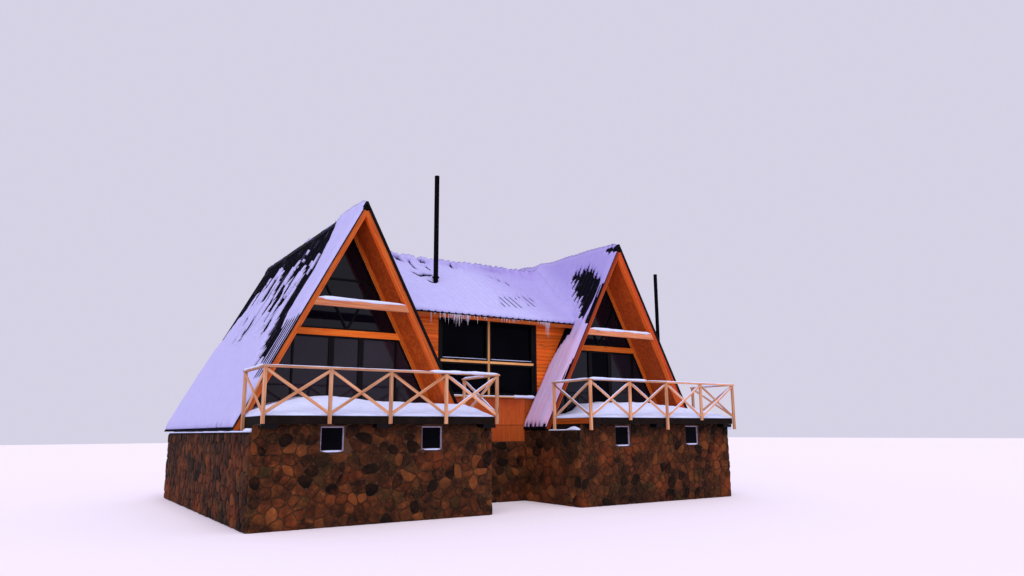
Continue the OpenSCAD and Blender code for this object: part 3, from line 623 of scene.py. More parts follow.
# %% [markdown]
# ## Barge boards
# The barge boards close the front and back edges of each wing's roof and meet in a mitre. A batten
# stands a little proud along their upper edge, and a lath only 12 mm thick covers their lower edge.
# The lath is a painted highlight, brighter than the boards, for the light the snow throws up on their
# undersides. The boards are made as sticks square to the slope, so the mitre and the level foot come
# from end planes. The right wing's boards are older.

# %% Barge boards
LEVEL, PLUMB = (0, 0, 1), (1, 0, 0)
WINGS = ((-1, "left"), (1, "right"))
BATTEN_T, PROUD, LATH_IN = 0.022, 0.008, 0.004


def raking(sticks, wing, side, depths, y0, y1, foot, ease=0.004, gap=0.0003, tint=None):
    """A stick down a slope, from the ridge to height foot, filling a layer between two depths."""
    middle, x, y = (depths[0] + depths[1]) / 2, wing * WING_X, (y0 + y1) / 2
    low = (x + side * half(foot, across(middle)), y, FLOOR + foot)
    top = (x + side * gap, y, FLOOR + RIDGE - (gap + across(middle)) * ROOF_TAN)
    sticks.add(top, low, (0, 1, 0), y1 - y0, depths[1] - depths[0], (PLUMB, LEVEL), ease, tint)


def barge_boards(wing, word):
    """A wing's barge boards, battens and laths, front and back."""
    boards, laths = Timbers(10 + wing), Timbers(15 + wing)
    for y0, y1, out in ((ROOF_FRONT, ROOF_FRONT + BARGE_T, -PROUD), (ROOF_BACK - BARGE_T, ROOF_BACK, PROUD)):
        for side in (-1, 1):
            tint = None if wing < 0 else (0.0 if side < 0 else 1.0)
            raking(boards, wing, side, (SHEET_D, BARGE_D), y0, y1, -ROOF_FOOT, 0.006, tint=tint)
            raking(boards, wing, side, (SHEET_D, SHEET_D + BATTEN_T), y0 + out, y1 + out, -ROOF_FOOT,
                   tint=tint)
            # Painted highlight: a bright lath along the board's lower edge.
            raking(laths, wing, side, (BARGE_D - 0.004, BARGE_D + 0.008), y0 + LATH_IN, y1 - LATH_IN,
                   0.002 - ROOF_FOOT, 0.003, 0.001, 1.0)
    boards.done(word + "_barge_timber", barge_pine if wing < 0 else aged_barge, "stained_timber",
                word + "_wing_barge_boards")
    laths.done(word + "_barge_highlight_lath", painted_highlight_pine, "stained_timber")


print("barge boards are cut for a slope of", round(SLOPE_LENGTH, 3))

# %% [markdown]
# ## Gable rafters and beams
# Each glazed gable hangs in a pair of rafters, with a bead along their inner edge, and a storey beam
# between them. A paler collar beam ties the front of the roof. The two wings' beams lie at slightly
# different heights, as in the photograph. A beam's ends are cut to the slope it runs into. Boards
# and rafters are then made wing by wing.

# %% Rafters and beams
BEAM_Z, COLLAR_TOP = {-1: 2.07, 1: 2.135}, {-1: 2.725, 1: 2.56}
GABLE_T, BEAM_H, COLLAR_T, COLLAR_H = 0.09, 0.16, 0.06, 0.175
BEAD_D = (RAFTER_D - 0.012, RAFTER_D + 0.008)


def level_beam(sticks, wing, z, depth_in, y, thick, height, ease, tint=None):
    """A level beam from slope to slope, its ends cut along the layer that lies that deep in the roof."""
    x, span = wing * WING_X, half(z, across(depth_in))
    sticks.add((x - span, y, FLOOR + z), (x + span, y, FLOOR + z), (0, 1, 0), thick, height,
               ((ROOF_TAN, 0, -1), (ROOF_TAN, 0, 1)), ease, tint)


collars = Timbers(30)
for wing, word in WINGS:
    barge_boards(wing, word)
    gable = Timbers(20 + wing)
    for side in (-1, 1):
        raking(gable, wing, side, (SOFFIT_D, RAFTER_D), GABLE_Y - GABLE_T, GABLE_Y, 0.0, 0.006, tint=0.05)
        raking(gable, wing, side, BEAD_D, GABLE_Y - 0.055, GABLE_Y - 0.035, 0.0)
    level_beam(gable, wing, BEAM_Z[wing], RAFTER_D, GABLE_Y - GABLE_T / 2, GABLE_T, BEAM_H, 0.006,
               0.95 if wing < 0 else 0.2)
    gable.done(word + "_gable_timber", gable_pine, "stained_timber", word + "_gable_frame")
    level_beam(collars, wing, COLLAR_TOP[wing] - COLLAR_H / 2, BARGE_D, ROOF_FRONT + COLLAR_T / 2,
               COLLAR_T, COLLAR_H, 0.008)
collars.done("collar_timbers", collar_pine, "collar_timber", "collar_beams")

# %% [markdown]
# ## Railings
# The railings are peeled pine: square posts, flat braces that cross in each bay, and a flat rail on
# top. Real braces are cut to the faces of the posts, so the end planes here are the posts' faces.
# One brace of each pair runs through in front of the other. The tops of the braces are kept in a
# list, because snow will lie on them.

# %% Railing timbers
POST, RAIL_TOP, RAIL_W, RAIL_T, BRACE_W, BRACE_T, BRACE_LOW = 0.07, 0.975, 0.095, 0.042, 0.062, 0.034, 0.025
SIDE_BAY, POST_FOOT, RAIL_END = 1.54, 0.31, 0.02
FRONT_FEET = {-1: [0.16] * 5, 1: [POST_FOOT, 0.06, POST_FOOT, 0.06, POST_FOOT]}
POST_HEAD, RAIL_MID = FLOOR + RAIL_TOP - RAIL_T, FLOOR + RAIL_TOP - RAIL_T / 2
brace_tops = []


def post(sticks, x, y, drop):
    """A post that starts that far below the floor."""
    sticks.add((x, y, FLOOR - drop), (x, y, POST_HEAD), (1, 0, 0), POST, POST, ease=0.009)


def handrail(sticks, start, end, side):
    """A rail on top of the posts, between two points of the plan."""
    sticks.add((*start, RAIL_MID), (*end, RAIL_MID), side, RAIL_W, RAIL_T, ease=0.008)


def crossed(sticks, low, high, flat):
    """Two crossing braces between the faces low and high of two posts; flat is their own face's normal."""
    low, high, flat = Vector(low), Vector(high), Vector(flat)
    run = (high - low).normalized()
    rise = RAIL_TOP - RAIL_T - BRACE_LOW
    tilt = math.atan((rise - BRACE_W) / (high - low).length)
    drop = BRACE_W / 2 / math.cos(tilt)
    z0, z1 = FLOOR + BRACE_LOW + drop, POST_HEAD - drop
    on_top = Vector((0, 0, drop - 0.002))
    for near, (a, b) in ((0.5, (z0, z1)), (-0.5, (z1, z0))):
        shift = flat * near * BRACE_T * 0.55
        start, end = Vector((low.x, low.y, a)) + shift, Vector((high.x, high.y, b)) + shift
        sticks.add(start, end, flat, BRACE_T * 0.8, BRACE_W, (run, run), 0.005)
        middle = (start + end) / 2
        for a, b in ((start.lerp(end, 0.04), middle), (middle, start.lerp(end, 0.96))):
            brace_tops.append((tuple(a + on_top), tuple(b + on_top)))


for wing, word in WINGS:
    front = Timbers(40 + wing)
    xs = [wing * WING_X - DECK_X + i * BAY for i in range(5)]
    for x, drop in zip(xs, FRONT_FEET[wing]):
        post(front, x, POST_Y, drop)
    for x0, x1 in zip(xs, xs[1:]):
        crossed(front, (x0 + POST / 2, POST_Y, 0), (x1 - POST / 2, POST_Y, 0), (0, -1, 0))
    joints = [xs[0] - POST / 2 - RAIL_END, xs[2], xs[4] + POST / 2 + RAIL_END]
    for x0, x1 in zip(joints, joints[1:]):
        handrail(front, (x0, POST_Y), (x1, POST_Y), (0, 1, 0))
    front.done(word + "_front_railing_timber", peeled_pine, "peeled_pine", word + "_front_railing")

    sides = Timbers(50 + wing)
    end_y = POST_Y + SIDE_BAY
    for side in (-1, 1):
        x = wing * WING_X + side * DECK_X
        post(sides, x, end_y, POST_FOOT)
        crossed(sides, (x, POST_Y + POST / 2, 0), (x, end_y - POST / 2, 0), (side, 0, 0))
        handrail(sides, (x, POST_Y + RAIL_W / 2), (x, end_y + POST / 2 + RAIL_END), (1, 0, 0))
    sides.done(word + "_side_railing_timber", peeled_pine, "peeled_pine", word + "_side_railings")

# %% [markdown]
# ## Link window
# The link's window has a pale post and transom inside a thin black rim. In each of its four openings
# stands a black sash, and a sill lies below. The frames are sticks butted together, as a joiner would
# cut them. The same window is repeated at the back.

# %% Link window
WIN_MID, WIN_X, SILL, HEAD, TRANSOM, FRAME_W, JAMB_W = 0.09, 1.5323, 0.62, 2.745, 1.545, 0.065, 0.035
FRAME_D, SASH, SILL_T, SILL_D = 0.09, 0.05, 0.036, 0.11
WIN_LEFT, WIN_RIGHT = WIN_MID - WIN_X, WIN_MID + WIN_X


def upright(sticks, x, z0, z1, y, width, depth, ease=0.004):
    """A vertical stick."""
    sticks.add((x, y, FLOOR + z0), (x, y, FLOOR + z1), (1, 0, 0), width, depth, ease=ease)


def level(sticks, x0, x1, z, y, height, depth, ease=0.004):
    """A horizontal stick along X."""
    sticks.add((x0, y, FLOOR + z), (x1, y, FLOOR + z), (0, 1, 0), depth, height, ease=ease)


def ring(sticks, x0, x1, z0, z1, y, width, depth):
    """Four sticks round an opening."""
    for x in (x0 + width / 2, x1 - width / 2):
        upright(sticks, x, z0, z1, y, width, depth)
    for z in (z0 + width / 2, z1 - width / 2):
        level(sticks, x0 + width, x1 - width, z, y, width, depth)


link_frames, sashes = Timbers(60), Timbers(61)
for turn in (-1, 1):
    y = turn * (-GABLE_Y - 0.033)
    ring(sashes, WIN_LEFT, WIN_RIGHT, SILL, HEAD, y, JAMB_W, FRAME_D)
    upright(link_frames, WIN_MID, SILL + JAMB_W, HEAD - JAMB_W, y, FRAME_W, FRAME_D)
    for x0, x1 in ((WIN_LEFT + JAMB_W, WIN_MID - FRAME_W / 2), (WIN_MID + FRAME_W / 2, WIN_RIGHT - JAMB_W)):
        level(link_frames, x0, x1, TRANSOM, y, FRAME_W, FRAME_D)
        for z0, z1 in ((SILL + JAMB_W, TRANSOM - FRAME_W / 2), (TRANSOM + FRAME_W / 2, HEAD - JAMB_W)):
            ring(sashes, x0, x1, z0, z1, turn * (-GABLE_Y - 0.02), SASH, SASH)
    level(link_frames, WIN_LEFT - 0.03, WIN_RIGHT + 0.03, SILL - SILL_T / 2, turn * (-GABLE_Y + 0.05),
          SILL_T, SILL_D)
link_frames.done("link_window_timber", window_pine, "window_timber", "link_window_frames")

# %% [markdown]
# ## Back windows
# The photograph doesn't show the back, so it repeats the front's pattern plainly: a window of two
# lights on each wing, and a frame round the triangle of glass above, under the slopes.

# %% Back windows
BACK_X, BACK_SILL, BACK_HEAD, UPPER_SILL = 0.95, 0.85, 2.0, 2.45
BACK_D, UPPER_D = 0.087, SOFFIT_D + 0.26

back_frames = Timbers(62)
for wing in (-1, 1):
    cx, y = wing * WING_X, BACK_Y - 0.0315
    ring(back_frames, cx - BACK_X, cx + BACK_X, BACK_SILL, BACK_HEAD, y, FRAME_W, BACK_D)
    upright(back_frames, cx, BACK_SILL + FRAME_W, BACK_HEAD - FRAME_W, y, FRAME_W, BACK_D)
    for x0, x1 in ((cx - BACK_X + FRAME_W, cx - FRAME_W / 2), (cx + FRAME_W / 2, cx + BACK_X - FRAME_W)):
        ring(sashes, x0, x1, BACK_SILL + FRAME_W, BACK_HEAD - FRAME_W, BACK_Y - 0.04, SASH, 0.045)
    level(back_frames, cx - BACK_X - 0.03, cx + BACK_X + 0.03, BACK_SILL - SILL_T / 2, BACK_Y + 0.05,
          SILL_T, SILL_D)
    for side in (-1, 1):
        raking(back_frames, wing, side, (UPPER_D, UPPER_D + FRAME_W), BACK_Y - 0.075, BACK_Y + 0.012,
               UPPER_SILL)
    reach_x = half(2.5, across(UPPER_D))
    level(back_frames, cx - reach_x, cx + reach_x, UPPER_SILL + FRAME_W / 2, y, FRAME_W, 0.086)
back_frames.done("back_window_timber", window_pine, "window_timber", "back_window_frames")
sashes.done("window_sashes", black_paint, "glazing_bars")

# %% [markdown]
# ## Fascias
# A board closes the link's eaves below the roofing, front and back, and dies into the wings' roofs.

# %% Fascias
fascias = Timbers(63)
for turn in (-1, 1):
    z = LINK_EAVE_Z - 0.127
    x = WING_X - half(z) + 0.01
    level(fascias, -x, x, z, turn * (LINK_EAVE_Y + 0.015), 0.11, 0.03)
fascias.done("link_fascia_timber", rim_pine, "stained_timber", "link_fascias")

# %% [markdown]
# ## Recipes for what repeats
# Boards, stones, ridges of snow and icicles repeat in their hundreds. Each kind is one geometry
# recipe with named sizes. A recipe takes a thin drawing, such as one line a board or one outline a
# stone, and turns it into solids. Attributes of the drawing travel with it, so each solid keeps its
# own tint.

# %% Recipe helpers


def recipe(name, **sizes):
    """A new geometry recipe: its tree and its inputs' sockets."""
    tree = bpy.data.node_groups.new(name, "GeometryNodeTree")
    tree.interface.new_socket("Geometry", in_out="INPUT", socket_type="NodeSocketGeometry")
    tree.interface.new_socket("Geometry", in_out="OUTPUT", socket_type="NodeSocketGeometry")
    for key, value in sizes.items():
        tree.interface.new_socket(key, in_out="INPUT", socket_type="NodeSocketFloat").default_value = value
    tree.interface.new_socket("Finish", in_out="INPUT", socket_type="NodeSocketMaterial")
    return tree, put(tree, "NodeGroupInput").outputs


def serve(tree, given, geometry):
    """Close a recipe: real geometry with its finish."""
    solid = put(tree, "GeometryNodeRealizeInstances", {"Geometry": geometry})
    coated = put(tree, "GeometryNodeSetMaterial", {"Geometry": solid, "Material": given["Finish"]})
    put(tree, "NodeGroupOutput", {"Geometry": coated})


def volume(mesh):
    """Signed volume of a closed mesh; below nothing means its faces look inward."""
    mesh.calc_loop_triangles()
    points = np.empty(len(mesh.vertices) * 3)
    mesh.vertices.foreach_get("co", points)
    corners = np.empty(len(mesh.loop_triangles) * 3, dtype=np.int32)
    mesh.loop_triangles.foreach_get("vertices", corners)
    a, b, c = np.moveaxis(points.reshape(-1, 3)[corners.reshape(-1, 3)], 1, 0)
    return float(np.einsum("ij,ij->i", a, np.cross(b, c)).sum() / 6)


def cook(drawing, tree, finish, **sizes):
    """The plain mesh a recipe makes of a drawing."""
    holder = bpy.data.objects.new("drawing", drawing)
    scene.collection.objects.link(holder)
    modifier = holder.modifiers.new("recipe", "NODES")
    modifier.node_group = tree
    for item in tree.interface.items_tree:
        if item.in_out == "INPUT" and item.name in sizes:
            modifier[item.identifier] = sizes[item.name]
        if item.in_out == "INPUT" and item.name == "Finish":
            modifier[item.identifier] = finish
    deps = bpy.context.evaluated_depsgraph_get()
    cooked = holder.evaluated_get(deps)
    made = bpy.data.meshes.new_from_object(cooked, preserve_all_data_layers=True, depsgraph=deps)
    bpy.data.objects.remove(holder)
    if volume(made) < 0:
        made.flip_normals()
    return made


def line_drawing(name, lines, **values):
    """A drawing of separate lines; values are lists with one number a line."""
    points = [point for line in lines for point in line]
    pairs = [(2 * i, 2 * i + 1) for i in range(len(lines))]
    return mesh_of(name, points, edges=pairs, **{key: np.repeat(row, 2) for key, row in values.items()})


# %% [markdown]
# ## Board siding
# The walls beside the link's window are clad in stained boards about 105 mm wide, laid level, and
# so are the back gables. Each board is one line of the drawing. Its ends run into the wings' roofing,
# as boards scribed to a roof do. The eased edges of neighbours make the shadow line between them.

# %% Board recipe and siding
BOARD_PITCH, BOARD_T, BOARD_GAP = 0.108, 0.022, 0.0015
BOARD_OUT = BOARD_T / 2 - 0.002
CASING = 0.045

board_recipe, given = recipe("level_boards", Width=0.1, Thickness=0.02, Ease=0.005)
lines = put(board_recipe, "GeometryNodeMeshToCurve", {"Mesh": given["Geometry"]})
outline = put(board_recipe, "GeometryNodeCurvePrimitiveQuadrilateral",
              {"Width": given["Thickness"], "Height": given["Width"]})
eased = put(board_recipe, "GeometryNodeFilletCurve", {"Curve": outline, "Radius": given["Ease"]})
swept = put(board_recipe, "GeometryNodeCurveToMesh",
            {"Curve": lines, "Profile Curve": eased, "Fill Caps": True})
serve(board_recipe, given, swept)


def courses(z0, z1, edge, y, gaps, rng):
    """Lines of level boards between two heights, cut at gaps given as (x0, x1, z0, z1)."""
    lines = []
    count = max(1, round((z1 - z0) / BOARD_PITCH))
    step = (z1 - z0) / count
    for i in range(count):
        z = z0 + (i + 0.5) * step
        x = edge(z0 + (i + 1) * step)
        cuts = sorted((g[0], g[1]) for g in gaps if g[2] < z + step * 0.4 and z - step * 0.4 < g[3])
        left = -x
        for x0, x1 in cuts + [(x, x)]:
            right = min(x0, x)
            if right - left > 0.04:
                joint = left + (right - left) * rng.uniform(0.3, 0.7)
                ends = [left, joint - 0.001, joint + 0.001, right] if right - left > 3 else [left, right]
                for a, b in zip(ends[::2], ends[1::2]):
                    lines.append(((a, y, FLOOR + z), (b, y, FLOOR + z)))
            left = max(left, x1)
    return lines


def siding(name, drawing, boards):
    """The boards on those lines as a piece."""
    made = cook(line_drawing(drawing, boards, tint=rng.random(len(boards))), board_recipe, stained_siding,
                Width=BOARD_PITCH - BOARD_GAP, Thickness=BOARD_T, Ease=0.004)
    place_piece(name, made, stained_siding, "siding")


rng = np.random.default_rng(3)
LINK_TOP = LINK_RIDGE + GABLE_Y * LINK_TAN - SOFFIT_D / math.cos(LINK_PITCH)
hole = (WIN_LEFT - 0.004, WIN_RIGHT + 0.004, SILL - 0.04, HEAD + 0.004)
boards = []
for turn in (-1, 1):
    boards += courses(SILL - SILL_T, LINK_TOP, lambda z: WING_X - half(z) + 0.03,
                      turn * (-GABLE_Y + BOARD_OUT), [hole], rng)
siding("link_siding", "link_boards", boards)

back_boards = []
hole = (-BACK_X - CASING, BACK_X + CASING, BACK_SILL - 0.04, BACK_HEAD + CASING)
for wing in (-1, 1):
    made = courses(0.0, RIDGE - 0.45, lambda z: half(z, across(SOFFIT_D - 0.02)), BACK_Y + BOARD_OUT,
                   [hole], rng)
    for (xa, y, z), (xb, _, _) in made:
        hidden = half(z - FLOOR, across(SOFFIT_D + 0.25)) if z - FLOOR > UPPER_SILL - 0.03 else 0
        pieces = [(xa, xb)] if hidden < 0.05 else [(xa, max(xa, -hidden)), (min(xb, hidden), xb)]
        for a, b in pieces:
            if b - a > 0.03:
                back_boards.append(((wing * WING_X + a, y, z), (wing * WING_X + b, y, z)))
siding("back_gable_siding", "back_boards", back_boards)

# %% [markdown]
# ## Trim round the windows
# A thin pale casing covers the joint between the back windows and the boards. The link's window has
# a flat black trim instead, a little wider on its right, which makes its dark area as wide as in the
# photograph.

# %% Casings and trim
casing = Timbers(70)
for wing in (-1, 1):
    cx, y = wing * WING_X, BACK_Y + 0.014
    for x in (cx - BACK_X - CASING / 2 + 0.004, cx + BACK_X + CASING / 2 - 0.004):
        upright(casing, x, BACK_SILL, BACK_HEAD, y, CASING, 0.034)
    level(casing, cx - BACK_X - CASING, cx + BACK_X + CASING, BACK_HEAD + CASING / 2 - 0.004, y,
          CASING, 0.034)
casing.done("window_casings", window_pine, "window_timber")

TRIM_D = 0.036
rim = Timbers(76)
for turn in (-1, 1):
    y, left, right = turn * (-GABLE_Y + 0.0155), WIN_LEFT + 0.004, WIN_RIGHT - 0.004
    upright(rim, left - 0.0275, SILL, HEAD + 0.05, y, 0.055, TRIM_D)
    upright(rim, right + 0.035, SILL, HEAD + 0.05, y, 0.07, TRIM_D)
    level(rim, left, right, HEAD + 0.023, y, 0.054, TRIM_D)
rim.done("link_window_rim", black_paint, "glazing_bars")

# %% [markdown]
# ## Panels, shadow blocks and side boards
# Below the link's sill the wall is faced with two plain sheets, with one level seam between them.
# Black blocks under the balconies' front edges, three on each, are painted shadow: the shade of the
# space under each deck. The right balcony's sides are closed by a thin stained board; on the left
# one only the felt is seen.

# %% Panels, painted shadow blocks and side boards
STONE_L, STONE_R = 2.77, 2.68
GAP_LEFT, GAP_RIGHT = STONE_R - WING_X, WING_X - STONE_L
panels = Timbers(71)
for turn in (-1, 1):
    for z0, z1 in ((-0.6, -0.168), (-0.15, SILL - 0.04)):
        level(panels, GAP_LEFT + 0.01, GAP_RIGHT - 0.01, (z0 + z1) / 2, turn * (-GABLE_Y + 0.004),
              z1 - z0, 0.018, 0.003)
panels.done("panel_sheets", panel_board, "siding")

# Painted shadow: black blocks stand for the shade under the decks' front edges.
SHADOW_BLOCK_X = {-1: (-2.5, -0.12, 2.48), 1: (-2.48, -0.21, 2.42)}
SHADOW_BLOCK_FRONT, SHADOW_BLOCK_BACK, SHADOW_BLOCK_Z, SHADOW_BLOCK_W, SHADOW_BLOCK_H = -5.752, -5.48, FLOOR - 0.205, 0.32, 0.085
shadow_blocks = Timbers(72)
for wing in (-1, 1):
    for x in SHADOW_BLOCK_X[wing]:
        shadow_blocks.add((wing * WING_X + x, SHADOW_BLOCK_FRONT, SHADOW_BLOCK_Z), (wing * WING_X + x, SHADOW_BLOCK_BACK, SHADOW_BLOCK_Z),
                   (1, 0, 0), SHADOW_BLOCK_W, SHADOW_BLOCK_H)
shadow_blocks.done("under_deck_shadow_blocks", black_paint, "deck_edge")

DECK_HALF = DECK_X - 0.0353
EDGE_H, EDGE_T, EDGE_FRONT = 0.14, 0.012, -5.7
edging = Timbers(77)
for side in (-1, 1):
    x, z = WING_X + side * (DECK_HALF + 0.007), FLOOR - 0.078
    edging.add((x, EDGE_FRONT, z), (x, ROOF_FRONT - 0.012, z), (0, 0, 1), EDGE_H, EDGE_T,
               ease=0.002, tint=0.25)
edging.done("deck_side_boards", rim_pine, "rim_timber")

# %% [markdown]
# ## Caps and flashing
# At each end of a ridge a folded cap closes the roofing. Along the sloping front and back edges a
# thin black flashing covers the roofing's cut; on the right-hand slopes it stands up past the ribs.
# The right wing's inner front edge has none: there the bare board is seen.

# %% Caps and flashing
caps = Timbers(73)
for wing in (-1, 1):
    for y in (ROOF_FRONT - 0.012, ROOF_BACK + 0.012):
        for side in (-1, 1):
            down = Vector((side * math.cos(ROOF_PITCH), 0, -math.sin(ROOF_PITCH)))
            low_by = (0.0005 + across(0.055)) * ROOF_TAN
            top = Vector((wing * WING_X + side * 0.0005, y, FLOOR + RIDGE - low_by))
            caps.add(top, top + down * 0.09, (0, 1, 0), 0.006, 0.11, (PLUMB, LEVEL), 0.001)
caps.done("apex_end_caps", black_paint, "roofing")

flashing = Timbers(74)
for wing in (-1, 1):
    for y0, y1 in ((ROOF_FRONT - 0.014, ROOF_FRONT + 0.02), (ROOF_BACK - 0.02, ROOF_BACK + 0.014)):
        for side in (-1, 1):
            if (wing, side, y0 < 0) != (1, -1, True):
                raking(flashing, wing, side, (-0.035 if side > 0 else 0.016, SHEET_D - 0.004), y0, y1,
                       -ROOF_FOOT + 0.002, 0.003, 0.03)
flashing.done("verge_flashing", black_paint, "roofing")

# %% [markdown]
# ## Door panes
# On the right balcony the two lights between the middle bars are as wide as a door and nearly black,
# darker than the glass beside them. They are two thin panes just in front of the sheet.

# %% Door panes
DOOR_LIGHTS, DOOR_FOOT, DOOR_HEAD, PANE_T = ((-0.48, -0.04), (-0.04, 0.4)), 0.06, 2.05, 0.005
doors = Timbers(75)
door_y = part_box("right_gable_glass")[0][1] - 0.003
for x0, x1 in DOOR_LIGHTS:
    upright(doors, WING_X + (x0 + x1) / 2, DOOR_FOOT, DOOR_HEAD, door_y, x1 - x0, PANE_T, 0.001)
doors.done("door_panes", pane, "glass")

# %% [markdown]
# ## Rubble facing
# The base is faced with field stones of 0.2 to 0.3 m, laid in rough rows. Around each stone's
# middle, the nearest-neighbour outline is found by cutting a rectangle along the line halfway to
# each neighbour, kept a joint's width back from it. Corners are cut once, because field stones have
# none. The recipe then raises each outline out of the mortar and crowns it.

# %% Stone outlines
JOINT, WALL_EDGE, NEAR, SMALLEST = 0.009, 0.004, 0.95, 0.004


def clip(polygon, normal, limit):
    """The part of a convex outline where normal . p is no more than limit."""
    kept = []
    for i, p in enumerate(polygon):
        q = polygon[(i + 1) % len(polygon)]
        a, b = normal[0] * p[0] + normal[1] * p[1] - limit, normal[0] * q[0] + normal[1] * q[1] - limit
        if a <= 0:
            kept.append(p)
        if (a < 0 < b) or (b < 0 < a):
            t = a / (a - b)
            kept.append((p[0] + (q[0] - p[0]) * t, p[1] + (q[1] - p[1]) * t))
    return kept


def area(polygon):
    """Area of an outline."""
    return 0.5 * abs(sum(p[0] * q[1] - q[0] * p[1] for p, q in zip(polygon, polygon[1:] + polygon[:1])))


def rounded(polygon, rng):
    """The outline with each corner cut, by a fifth to a third of its edges."""
    made = []
    for i, p in enumerate(polygon):
        for other in (polygon[i - 1], polygon[(i + 1) % len(polygon)]):
            t = rng.uniform(0.2, 0.33)
            made.append((p[0] + (other[0] - p[0]) * t, p[1] + (other[1] - p[1]) * t))
    return made


def stones(width, height, holes, rng, size):
    """Outlines of the stones of a wall, round its holes given as (x0, x1, z0, z1)."""
    rows, columns = max(1, round(height / size[1])), max(1, round(width / size[0]))
    seeds = []
    for r in range(-1, rows + 1):
        for c in range(-1, columns + 1):
            x = (c + 0.5 + 0.5 * (r % 2) + rng.uniform(-0.38, 0.38)) * width / columns
            z = (r + 0.5 + rng.uniform(-0.36, 0.36)) * height / rows
            if rng.random() > 0.1 and not any(h[0] < x < h[1] and h[2] < z < h[3] for h in holes):
                seeds.append((x, z))
    seeds = np.array(seeds)
    right, top = width - WALL_EDGE, height - WALL_EDGE
    outlines = []
    for x, z in seeds:
        shape = [(WALL_EDGE, WALL_EDGE), (right, WALL_EDGE), (right, top), (WALL_EDGE, top)]
        for other in seeds[np.hypot(*(seeds - (x, z)).T) < NEAR]:
            away = other - (x, z)
            length = math.hypot(*away)
            if length > 1e-6:
                normal = away / length
                middle = ((x, z) + other) / 2
                shape = clip(shape, normal, float(normal @ middle) - JOINT / 2)
        for x0, x1, z0, z1 in holes:
            beside = [(x0 - x, (1, 0), x0), (x - x1, (-1, 0), -x1),
                      (z0 - z, (0, 1), z0), (z - z1, (0, -1), -z1)]
            if len(shape) > 2 and max(p[0] for p in shape) > x0 and min(p[0] for p in shape) < x1 \
                    and max(p[1] for p in shape) > z0 and min(p[1] for p in shape) < z1:
                _, normal, limit = max(beside)
                shape = clip(shape, normal, limit - JOINT / 2)
        if len(shape) > 2 and area(shape) > SMALLEST:
            outlines.append(rounded(shape, rng))
    return outlines


# %% [markdown]
# ## The stone recipe
# Each outline is lifted off the wall, drawn in a little to a shoulder, lifted once more and drawn in
# to a flat crown, as a dressed field stone bulges. The back is closed, and a coarse noise moves all
# the points, so that no two edges stay straight.

# %% Stone recipe
stone_recipe, given = recipe("raised_stones", Shoulder=0.93, Crown=0.008, Top=0.66, Rough=0.02)
lift = put(stone_recipe, "GeometryNodeInputNamedAttribute", {"Name": "lift"}, data_type="FLOAT")
raised = given["Geometry"]
picked = {}
# Raised and drawn in twice: to the shoulder, then to the crown.
for height, scale in ((lift, "Shoulder"), (given["Crown"], "Top")):
    grown = put(stone_recipe, "GeometryNodeExtrudeMesh",
                {"Mesh": raised, "Offset Scale": height, "Individual": True, **picked}, mode="FACES")
    picked = {"Selection": grown.outputs["Top"]}
    raised = put(stone_recipe, "GeometryNodeScaleElements",
                 {"Geometry": grown, "Scale": given[scale], **picked})
back = put(stone_recipe, "GeometryNodeFlipFaces", {"Mesh": given["Geometry"]})
whole = put(stone_recipe, "GeometryNodeJoinGeometry")
for part in (back, raised):
    stone_recipe.links.new(part.outputs[0], whole.inputs[0])
merged = put(stone_recipe, "GeometryNodeMergeByDistance", {"Geometry": whole, "Distance": 0.0001})
where = put(stone_recipe, "GeometryNodeInputPosition")
cloud = put(stone_recipe, "ShaderNodeTexNoise", {"Vector": where, "Scale": 7.0, "Detail": 2.0})
centred = put(stone_recipe, "ShaderNodeVectorMath", {0: cloud.outputs["Color"], 1: (0.5, 0.5, 0.5)},
              operation="SUBTRACT")
push = put(stone_recipe, "ShaderNodeVectorMath", {0: centred, "Scale": given["Rough"]}, operation="SCALE")
moved = put(stone_recipe, "GeometryNodeSetPosition", {"Geometry": merged, "Offset": push})
serve(stone_recipe, given, moved)

# %% [markdown]
# ## Laying the stones
# Each face of the base is one drawing of outlines, placed in the wall's plane. The stones stand 16
# to 30 mm out of the mortar, with the crown on top of that. At the corners the side walls' stones
# stop short of the front ones, and they leave the small cellar windows free.

# %% Stone walls
FRONT_STONE, WING_STONE, LINK_STONE = 2.035, 1.885, 1.59
CELLAR_W, CELLAR_LOW, CELLAR_HIGH = 0.505, 1.49, 1.99
CELLAR_X = {-1: (-1.14, 1.14), 1: (-1.35, 1.22)}
FRONT_SIZE = {-1: (0.25, 0.21), 1: (0.19, 0.24)}


def stone_wall(corner, run, height, seed, holes=(), size=(0.3, 0.23)):
    """The facing of one wall, from its low corner along run; the stones rise to the right of run."""
    corner, run = Vector(corner), Vector(run)
    rng = np.random.default_rng(seed)
    along = run.normalized()
    verts, faces, tints, lifts = [], [], [], []
    for shape in stones(run.length, height, holes, rng, size):
        tint, lift = rng.random(), rng.uniform(0.016, 0.03)
        faces.append(tuple(range(len(verts), len(verts) + len(shape))))
        for x, z in shape:
            verts.append(corner + along * x + Vector((0, 0, z)))
            tints.append(tint)
            lifts.append(lift)
    drawing = mesh_of("outlines", verts, faces, tint=tints, lift=lifts)
    return cook(drawing, stone_recipe, field_stone, Shoulder=0.94, Crown=0.009, Top=0.7, Rough=0.016)


def join(meshes):
    """Several meshes as one."""
    store = bmesh.new()
    for mesh in meshes:
        store.from_mesh(mesh)
    made = bpy.data.meshes.new("joined")
    store.to_mesh(made)
    store.free()
    return made


